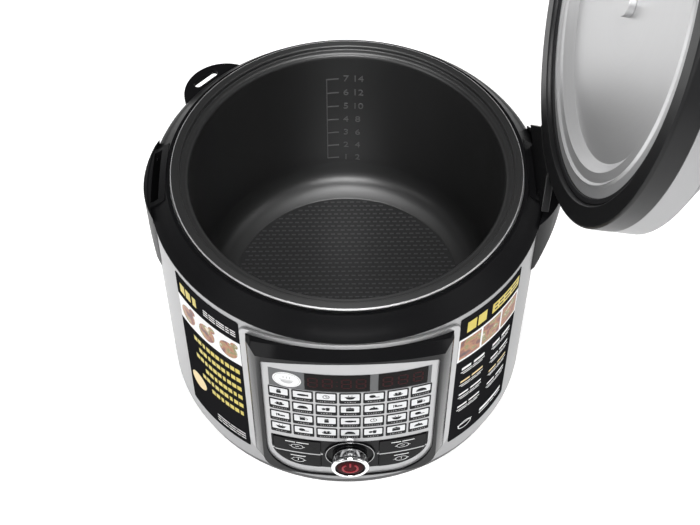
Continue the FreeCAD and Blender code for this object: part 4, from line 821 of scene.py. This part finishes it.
# Icons as lists of shapes: kind, across, up, then width and height, or half of these for a round shape
ICONS = (
    (("bowl", 0, 0.3, 3.2, 2.6), ("bar", 0, 0.7, 7.4, 0.5),
     ("bar", -1.2, 2, 0.5, 1.4), ("bar", 1.2, 2, 0.5, 1.4)),
    (("bar", 0, -0.6, 5.6, 3.0), ("dome", 0, 1.2, 2.9, 1.2), ("disc", 0, 2.6, 0.5, 0.4)),
    (("disc", 0, 0, 3.6, 1.3), ("bar", 3.6, 0, 1.2, 2.2), ("disc", -2, 0.3, 0.3, 0.3)),
    (("dome", 0, -1.2, 3.6, 3.0), ("bar", 0, -1.7, 7.6, 0.6)),
    (("bar", -0.6, -0.2, 3.6, 3.4), ("ring", 2.0, -0.2, 1.3, 1.2, 0.45), ("bar", -0.6, 2.2, 4.2, 0.5)),
    (("disc", -1.2, 0.4, 2.2, 1.8), ("bar", 2.0, -0.8, 3.2, 0.8)),
    (("bar", 0, -0.8, 6.4, 1.4), ("bar", 0, 0.6, 4.8, 1.2), ("disc", 0, 1.8, 0.6, 0.6)),
    (("ring", 0, 0.2, 2.4, 2.2, 0.5), ("bar", 0, 0.9, 0.5, 1.5), ("bar", 0.6, 0.2, 1.2, 0.5)),
    (("disc", -1.8, 0, 1.4, 1.3), ("disc", 1.0, 0.7, 1.5, 1.3), ("disc", 0.9, -1.1, 1.3, 1.0)),
    (("bar", 0, -0.7, 3.2, 3.2), ("bar", 0, 1.4, 2.2, 0.6), ("bar", 0, 2.1, 3.0, 0.6)),
    (("bowl", 0, -0.2, 3.4, 2.2), ("disc", -1.3, 0.7, 1.1, 0.9), ("disc", 1.1, 0.8, 1.2, 1.0)),
    (("bar", -2.6, 0, 0.6, 3.6), ("bar", 0.8, -0.4, 5.2, 1.6), ("disc", -1.2, 0.9, 0.8, 0.7)),
)


def draw_icon(page, shapes, across, up):
    """Draw one icon of the list into a print."""
    for kind, aside, above, *size in shapes:
        spot = (across + aside * MM, up + above * MM)
        measures = [number * MM for number in size]
        if kind == "bar":
            page.bar(*spot, *measures)
        elif kind == "disc":
            page.disc(*spot, *measures, steps=16)
        elif kind == "ring":
            page.ring(*spot, *measures, steps=20)
        else:
            page.half_disc(*spot, *measures, upper=kind == "dome")


def greeked(page, across, up, width, height, words):
    """A row of blank blocks where a line of words would stand, laid out evenly with uneven lengths."""
    shares = [2 + (5 * number + words) % 4 for number in range(words)]
    gap = height * 0.9
    unit = (width - gap * (words - 1)) / sum(shares)
    start = across - width / 2
    for share in shares:
        page.bar(start + share * unit / 2, up, share * unit, height)
        start += share * unit + gap


def blocks(page, across, up, count, width, height, gap):
    """A word's worth of upright blank blocks, some of them narrow."""
    pitch = width + gap
    start = across - pitch * (count - 1) / 2
    for number in range(count):
        narrow = 0.7 if number % 4 == 2 else 1.0
        page.bar(start + pitch * number, up, width * narrow, height)


class COOKER_OT_tiles(Operator):
    """Programme tiles with icons"""
    bl_idname = "cooker.tiles"
    bl_label = "Programme tiles"

    def execute(self, context):
        sizes = context.scene.cooker_sizes
        lift = 0.3 * MM
        plates = panel_print(0, lift)
        faces = panel_print(lift, sizes.print_height)
        icons = panel_print(lift + sizes.print_height, sizes.print_height)
        captions = panel_print(lift, sizes.print_height)
        low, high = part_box("program_tiles")
        gap, rows, columns, stride = 2.6 * MM, 4, 7, 5
        across_pitch, up_pitch = 16.25 * MM, (high.z - low.z + gap) / rows
        width, height = 14.8 * MM, up_pitch - gap
        face_width, face_height = width - 2.2 * MM, height - 5.2 * MM
        for row in range(rows):
            up = low.z + height / 2 + up_pitch * row
            for column in range(columns):
                across = across_pitch * (column - columns // 2)
                plates.bar(across, up, width, height, corner=1.0 * MM)
                faces.bar(across, up + 1.6 * MM, face_width, face_height, corner=0.6 * MM)
                number = (row * columns + column) * stride % len(ICONS)
                draw_icon(icons, ICONS[number], across, up + 1.4 * MM)
                words = number % 4
                line = width * (0.5 + 0.08 * words)
                greeked(captions, across, up - 4.6 * MM, line, 0.9 * MM, 5 + words)
        add_print("tile_plates", plates, "tile_dark", replaces=["program_tiles"])
        add_print("tile_faces", faces, "tile_face")
        add_print("tile_icons", icons, "tile_dark")
        add_print("tile_captions", captions, "caption")
        return {"FINISHED"}


class COOKER_OT_keys(Operator):
    """Four function keys and their marks"""
    bl_idname = "cooker.keys"
    bl_label = "Function keys"

    def execute(self, context):
        sizes = context.scene.cooker_sizes
        front = FACE_RADIUS + 0.8 * MM
        for row, height in enumerate(("lower", "upper")):
            for name in ("left", "right"):
                key = f"key_{height}_{name}"
                low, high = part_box(key)
                add_copy(f"{key}_cap", key, sizes.fine_edge, "key_black", "key_black", body=key)
                marks = Print(front, 0, sizes.print_height, PANEL_BEHIND)
                across = arc((low.x + high.x) / 2)
                up = (low.z + high.z) / 2 - 0.8 * MM
                marks.ring(across, up, 4.6 * MM, 3.0 * MM, 0.45 * MM)
                for step in (-1, 1):
                    marks.bar(across + step * 5.0 * MM, up, 1.4 * MM, 0.45 * MM)
                if row == 0:
                    marks.bar(across, up + 0.5 * MM, 0.5 * MM, 2.4 * MM)
                else:
                    marks.bar(across, up, 3.0 * MM, 0.5 * MM)
                greeked(marks, across, up + 5.6 * MM, (11 + 6 * row) * MM, 1.0 * MM, 1 + row)
                add_print(f"{key}_mark", marks, "print_white", key)
        return {"FINISHED"}


class COOKER_OT_knob(Operator):
    """Knob, its dish and the power button"""
    bl_idname = "cooker.knob"
    bl_label = "Knob"

    def execute(self, context):
        sizes = context.scene.cooker_sizes
        steps = 96
        back, dish_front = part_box("knob")[1].y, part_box("knob_dish")[0].y
        knob = (
            (3.06, 0, 0), (12.2, 0, 0.5), (12.6, 1.2, 0.4), (12.2, 8.9, 0.8), (13.6, 9.9, 0.5),
            (13.6, 11.3, 0.6), (12.4, 12.5, 0.6), (10.9, 11.9, 0.2), (10.8, 7.0, 0), (3.06, 7.0, 0),
        )
        line = ((17.2, 0, 0), (17.6, 0, 0), (17.6, 0.06, 0), (17.2, 0.06, 0))
        button = ((0, 8.0, 0), (10.4, 8.0, 0.3), (10.4, 11.4, 1.2), (0, 12.2, 0))
        add_piece("knob_cap", fitted(turned(knob, steps), back), "chrome", "knob", ["knob"])
        add_copy("dish", "knob_dish", sizes.edge, "key_black", "black_gloss")
        add_piece("dish_line", fitted(turned(line, steps), dish_front), "silver_lacquer", BODY)
        cap = fitted(turned(button, steps), back)
        add_piece("button_cap", cap, "red_button", "power_button", ["power_button"])
        add_piece("button_mark", fitted(power_mark(), back), "red_mark", "power_button")
        return {"FINISHED"}


def fitted(bm, back):
    """Turn a shape made round Z to the front, onto the knob's axis, standing on the plane y = back."""
    place = Matrix.Translation((KNOB.x, back, KNOB.z))
    bmesh.ops.transform(bm, matrix=place @ UPRIGHT, verts=bm.verts[:])
    return bm


def power_mark():
    """Open ring with a bar through its gap, on the button's face."""
    bm = bmesh.new()
    outer, inner, low, high, gap = 6.0 * MM, 4.7 * MM, 11.7 * MM, 12.25 * MM, math.radians(35)
    bar_wide, bar_long, bar_up = 1.3 * MM, 4.6 * MM, 4.4 * MM
    start = Matrix.Rotation(math.radians(90) + gap, 4, "Z")
    corners = [bm.verts.new(start @ Vector(spot)) for spot in (
        (inner, 0, low), (outer, 0, low), (outer, 0, high), (inner, 0, high))]
    face = bm.faces.new(corners)
    bmesh.ops.spin(bm, geom=[face], cent=(0, 0, 0), axis=(0, 0, 1), angle=2 * (math.pi - gap), steps=40)
    place = Matrix.Translation((0, bar_up, (low + high) / 2))
    bmesh.ops.create_cube(bm, size=1, matrix=place @ Matrix.Diagonal((bar_wide, bar_long, high - low, 1)))
    bmesh.ops.recalc_face_normals(bm, faces=bm.faces[:])
    return bm


class COOKER_OT_labels(Operator):
    """Two plain labels on the shell, beside the panel"""
    bl_idname = "cooker.labels"
    bl_label = "Side labels"

    def execute(self, context):
        sizes = context.scene.cooker_sizes
        ground, first, second = 0.16 * MM, 0.18 * MM, 0.22 * MM
        lifts = {"badge": first, "label_yellow": first, "label_gold": first, "label_photo": second,
                 "tile_dark": second}
        for side, name in ((-1, "left"), (1, "right")):
            layers = {"label": Print(SHELL_RADIUS, 0.02 * MM, ground)}
            for finish, lift in lifts.items():
                layers[finish] = Print(SHELL_RADIUS, lift, sizes.print_height)
            self.draw_label(layers, side, sizes)
            for finish, layer in layers.items():
                if layer.bm.verts:
                    add_print(f"{name}_{finish}", layer, finish)
        return {"FINISHED"}

    def draw_picture(self, page, across, up, wide, tall, side):
        """A mottled round dish on white, or a picture filled to its edges."""
        if side < 0:
            page.disc(across, up - 0.01 * tall, wide * 0.125, 0.055 * tall)
            page.disc(across + wide * 0.09, up + 0.045 * tall, wide * 0.05, 0.02 * tall)
        else:
            page.bar(across, up, wide * 0.295, 0.14 * tall)

    def draw_label(self, layers, side, sizes):
        """A dark ground with a strip of three pictures and with rows of blank blocks for words."""
        start, end = SHELL_RADIUS * sizes.label_start, SHELL_RADIUS * sizes.label_end
        low, high = sizes.label_low, sizes.label_high
        wide, tall = end - start, high - low
        middle = side * (start + end) / 2
        right = middle + wide * 0.22
        strip = high - 0.24 * tall
        heading = high - 0.085 * tall
        yellow, white, gold = layers["label_yellow"], layers["badge"], layers["label_gold"]
        layers["label"].bar(middle, (low + high) / 2, wide, tall, corner=1.5 * MM)
        white.bar(middle, strip, wide - 0.4 * MM, 0.17 * tall)
        for step in (-1, 0, 1):
            self.draw_picture(layers["label_photo"], middle + step * wide * 0.325, strip, wide, tall, side)
        if side < 0:
            blocks(yellow, middle - wide * 0.27, heading, 3, 5.6 * MM, 10 * MM, 1.4 * MM)
            for step in range(3):
                greeked(white, right, heading + (0.5 - 2.6 * step) * MM, wide * 0.46, 1.1 * MM, 5)
            for row, count in enumerate((10, 9, 10, 8, 9, 7)):
                width = count * 4.6 * MM
                across = middle + wide * 0.46 - width / 2
                up = strip - (24 + 11.2 * row) * MM
                blocks(yellow, across, up, count, 3.7 * MM, 5.2 * MM, 0.9 * MM)
            gold.disc(middle - wide * 0.3, low + 0.235 * tall, 9.0 * MM, 9.0 * MM)
            for step in range(3):
                greeked(white, right, low + (13 - 3.4 * step) * MM, wide * 0.44, 1.1 * MM, 3 + step)
        else:
            left = middle - wide * 0.26
            blocks(yellow, left, heading, 2, 8.0 * MM, 12 * MM, 1.6 * MM)
            yellow.bar(right, heading, wide * 0.5, 11 * MM, corner=0.6 * MM)
            for step in (-1, 1):
                up = heading + step * 2.2 * MM
                greeked(layers["tile_dark"], right, up, wide * 0.42, 1.8 * MM, 4)
            for row in range(4):
                up = strip - (26 + 17 * row) * MM
                letter = 3.0 * MM if row == 0 else 2.2 * MM
                for half in (-1, 1):
                    across = middle + half * wide * 0.24
                    page = gold if (row + half) % 3 == 0 else white
                    greeked(page, across, up, wide * 0.34, letter, 2)
                    greeked(white, across, up - 4.2 * MM, wide * 0.36, 0.9 * MM, 3)
                    greeked(white, across, up - 6.4 * MM, wide * 0.30, 0.9 * MM, 2)
            white.ring(left, low + 13 * MM, 6.5 * MM, 4.6 * MM, 0.8 * MM)
            white.bar(left, low + 15.2 * MM, 14.5 * MM, 0.8 * MM)
            foot = middle + wide * 0.2
            greeked(white, foot, low + 15 * MM, wide * 0.42, 3.4 * MM, 1)
            greeked(white, foot, low + 10.4 * MM, wide * 0.42, 1.2 * MM, 3)


class COOKER_OT_lid(Operator):
    """Lid with its shells, inner lid, seal, valves, handle and parking tab"""
    bl_idname = "cooker.lid"
    bl_label = "Lid"

    def execute(self, context):
        sizes = context.scene.cooker_sizes
        fine, edge = sizes.fine_edge, sizes.edge
        copies = (
            ("lid_band", "satin_silver", "lid_steel", "lid", fine),
            ("lid_cover", "satin_black", "lid_black", "lid", edge),
            ("sealing_ring", "silicone", "silicone", "lid", edge),
            ("inner_lid_nut", "lid_steel", "lid_steel", "lid", edge),
            ("steam_stem", "lid_steel", "steel_pin", "lid", fine),
            ("steam_shield", "lid_steel", "lid_steel", "lid", fine),
            ("lid_handle", "satin_black", "lid_black", "lid", 2.0 * MM),
            ("lid_parking_tab", "satin_black", "lid_black", "lid", edge),
            ("steam_valve", "satin_black", "lid_black", "steam_valve", 1.2 * MM),
            ("float_valve", "lid_steel", "steel_pin", "float_valve", edge),
            ("lid_skirt", "satin_black", "lid_black", "lid", edge),
            ("inner_lid", "lid_steel", "lid_steel", "lid", fine),
        )
        for node, finish, slot, body, width in copies:
            add_copy(f"{node}_piece", node, width, finish, slot, body, segments=3)
        return {"FINISHED"}


# Stage

class COOKER_OT_stage(Operator):
    """Pale floor, studio light and camera"""
    bl_idname = "cooker.stage"
    bl_label = "Stage"

    def execute(self, context):
        scene = context.scene
        scene.view_settings.view_transform = "Standard"
        self.add_floor()
        self.light_world(scene)
        self.add_lamp("top", (0.0, -0.05, 1.8), (0.45, 0.9), 17)
        self.add_lamp("front", (0.0, -1.4, 1.5), (0.9, 0.3), 23)
        self.add_lamp("left", (-1.4, -1.1, 1.0), (0.9, 0.9), 6)
        self.add_lamp("right", (1.5, -0.9, 0.9), (0.8, 0.9), 6)
        self.add_camera(scene)
        return {"FINISHED"}

    def add_floor(self):
        bm = bmesh.new()
        bmesh.ops.create_grid(bm, x_segments=1, y_segments=1, size=6)
        mesh = bpy.data.meshes.new("floor")
        bm.to_mesh(mesh)
        bm.free()
        mesh.materials.append(self.floor_finish())
        add_object("floor", mesh)

    def floor_finish(self):
        """White to the camera and in reflections, with the object's shadow kept."""
        material = bpy.data.materials.new("floor")
        tree = empty_tree(material)
        lit = add_node(tree, "BsdfDiffuse", {"Color": (0.8, 0.8, 0.8, 1)})
        glow = add_node(tree, "Emission", {"Color": (1, 1, 1, 1), "Strength": 0.58})
        both = add_node(tree, "AddShader", {0: lit, 1: glow})
        shown = add_node(tree, "MixShader", {0: seen(tree), 1: lit, 2: both})
        add_node(tree, "OutputMaterial", {"Surface": shown})
        return material

    def light_world(self, scene):
        """White backdrop round the horizon, dim studio above."""
        world = bpy.data.worlds.new("studio")
        scene.world = world
        tree = empty_tree(world)
        direction = add_node(tree, "TexCoord")
        height = add_node(tree, "SeparateXYZ", {0: direction}).output("Z")
        greys = ((0.0, 0.9), (0.2, 0.8), (0.5, 0.22), (1.0, 0.12))
        stops = [(level, (grey, grey, grey)) for level, grey in greys]
        shade = add_node(tree, "ValToRGB", {"Fac": height}, {"stops": stops})
        air = add_node(tree, "Background", {"Color": shade, "Strength": 0.7})
        white = add_node(tree, "Background", {"Color": (1, 1, 1, 1), "Strength": 1.0})
        camera_ray = add_node(tree, "LightPath")
        shown = add_node(tree, "MixShader", {0: camera_ray, 1: air, 2: white})
        add_node(tree, "OutputWorld", {"Surface": shown})

    def add_lamp(self, name, place, size, power):
        lamp = bpy.data.lights.new(name, "AREA")
        lamp.shape = "RECTANGLE"
        lamp.size, lamp.size_y = size
        lamp.energy = power
        holder = add_object(name, lamp)
        holder.location = place
        target = Vector((0, 0, 0.15))
        aim = target - Vector(place)
        holder.rotation_euler = aim.to_track_quat("-Z", "Y").to_euler()

    def add_camera(self, scene):
        stage = scene.cooker_stage
        data = bpy.data.cameras.new("camera")
        data.lens = stage.lens
        data.sensor_width = 36
        data.shift_x = stage.shift
        camera = add_object("camera", data)
        reach = stage.distance
        camera.location = (-reach * math.sin(stage.turn), -reach * math.cos(stage.turn), stage.height)
        camera.rotation_euler = (stage.tilt, 0, -stage.turn)
        scene.camera = camera


def empty_tree(owner):
    """Node tree of a material or world, without nodes."""
    owner.use_nodes = True
    owner.node_tree.nodes.clear()
    return owner.node_tree


def seen(tree):
    """One where a ray comes from the camera, a reflection or a clear piece."""
    path = add_node(tree, "LightPath")
    rays = [path.output(name) for name in ("Is Camera Ray", "Is Glossy Ray", "Is Transmission Ray")]
    return rays[0].either(rays[1]).either(rays[2])


OPERATORS = (
    COOKER_OT_body, COOKER_OT_inside, COOKER_OT_pot, COOKER_OT_ring, COOKER_OT_panel, COOKER_OT_tiles,
    COOKER_OT_keys, COOKER_OT_knob, COOKER_OT_labels, COOKER_OT_lid, COOKER_OT_stage,
)


class VIEW3D_PT_cooker(Panel):
    """Settings and steps of the cooker"""
    bl_label = "Cooker"
    bl_space_type = "VIEW_3D"
    bl_region_type = "UI"
    bl_category = "Cooker"

    def draw(self, context):
        for group in SETTINGS:
            settings = getattr(context.scene, group)
            box = self.layout.box()
            for name in settings.bl_rna.properties.keys():
                if name not in ("rna_type", "name"):
                    box.prop(settings, name)
        for operator in OPERATORS:
            self.layout.operator(operator.bl_idname)


SETTINGS = {"cooker_colours": CookerColours, "cooker_sizes": CookerSizes, "cooker_stage": CookerStage}
CLASSES = (*SETTINGS.values(), *OPERATORS, VIEW3D_PT_cooker)


def register():
    for item in CLASSES:
        bpy.utils.register_class(item)
    for name, group in SETTINGS.items():
        setattr(bpy.types.Scene, name, bpy.props.PointerProperty(type=group))


def unregister():
    for name in SETTINGS:
        delattr(bpy.types.Scene, name)
    for item in reversed(CLASSES):
        bpy.utils.unregister_class(item)


def main():
    register()
    make_finishes(bpy.context.scene.cooker_colours)
    steps = bpy.ops.cooker
    for step in (steps.body, steps.inside, steps.pot, steps.ring, steps.panel, steps.tiles, steps.keys,
                 steps.knob, steps.labels, steps.lid, steps.stage):
        step()


if __name__ == "__main__":
    main()
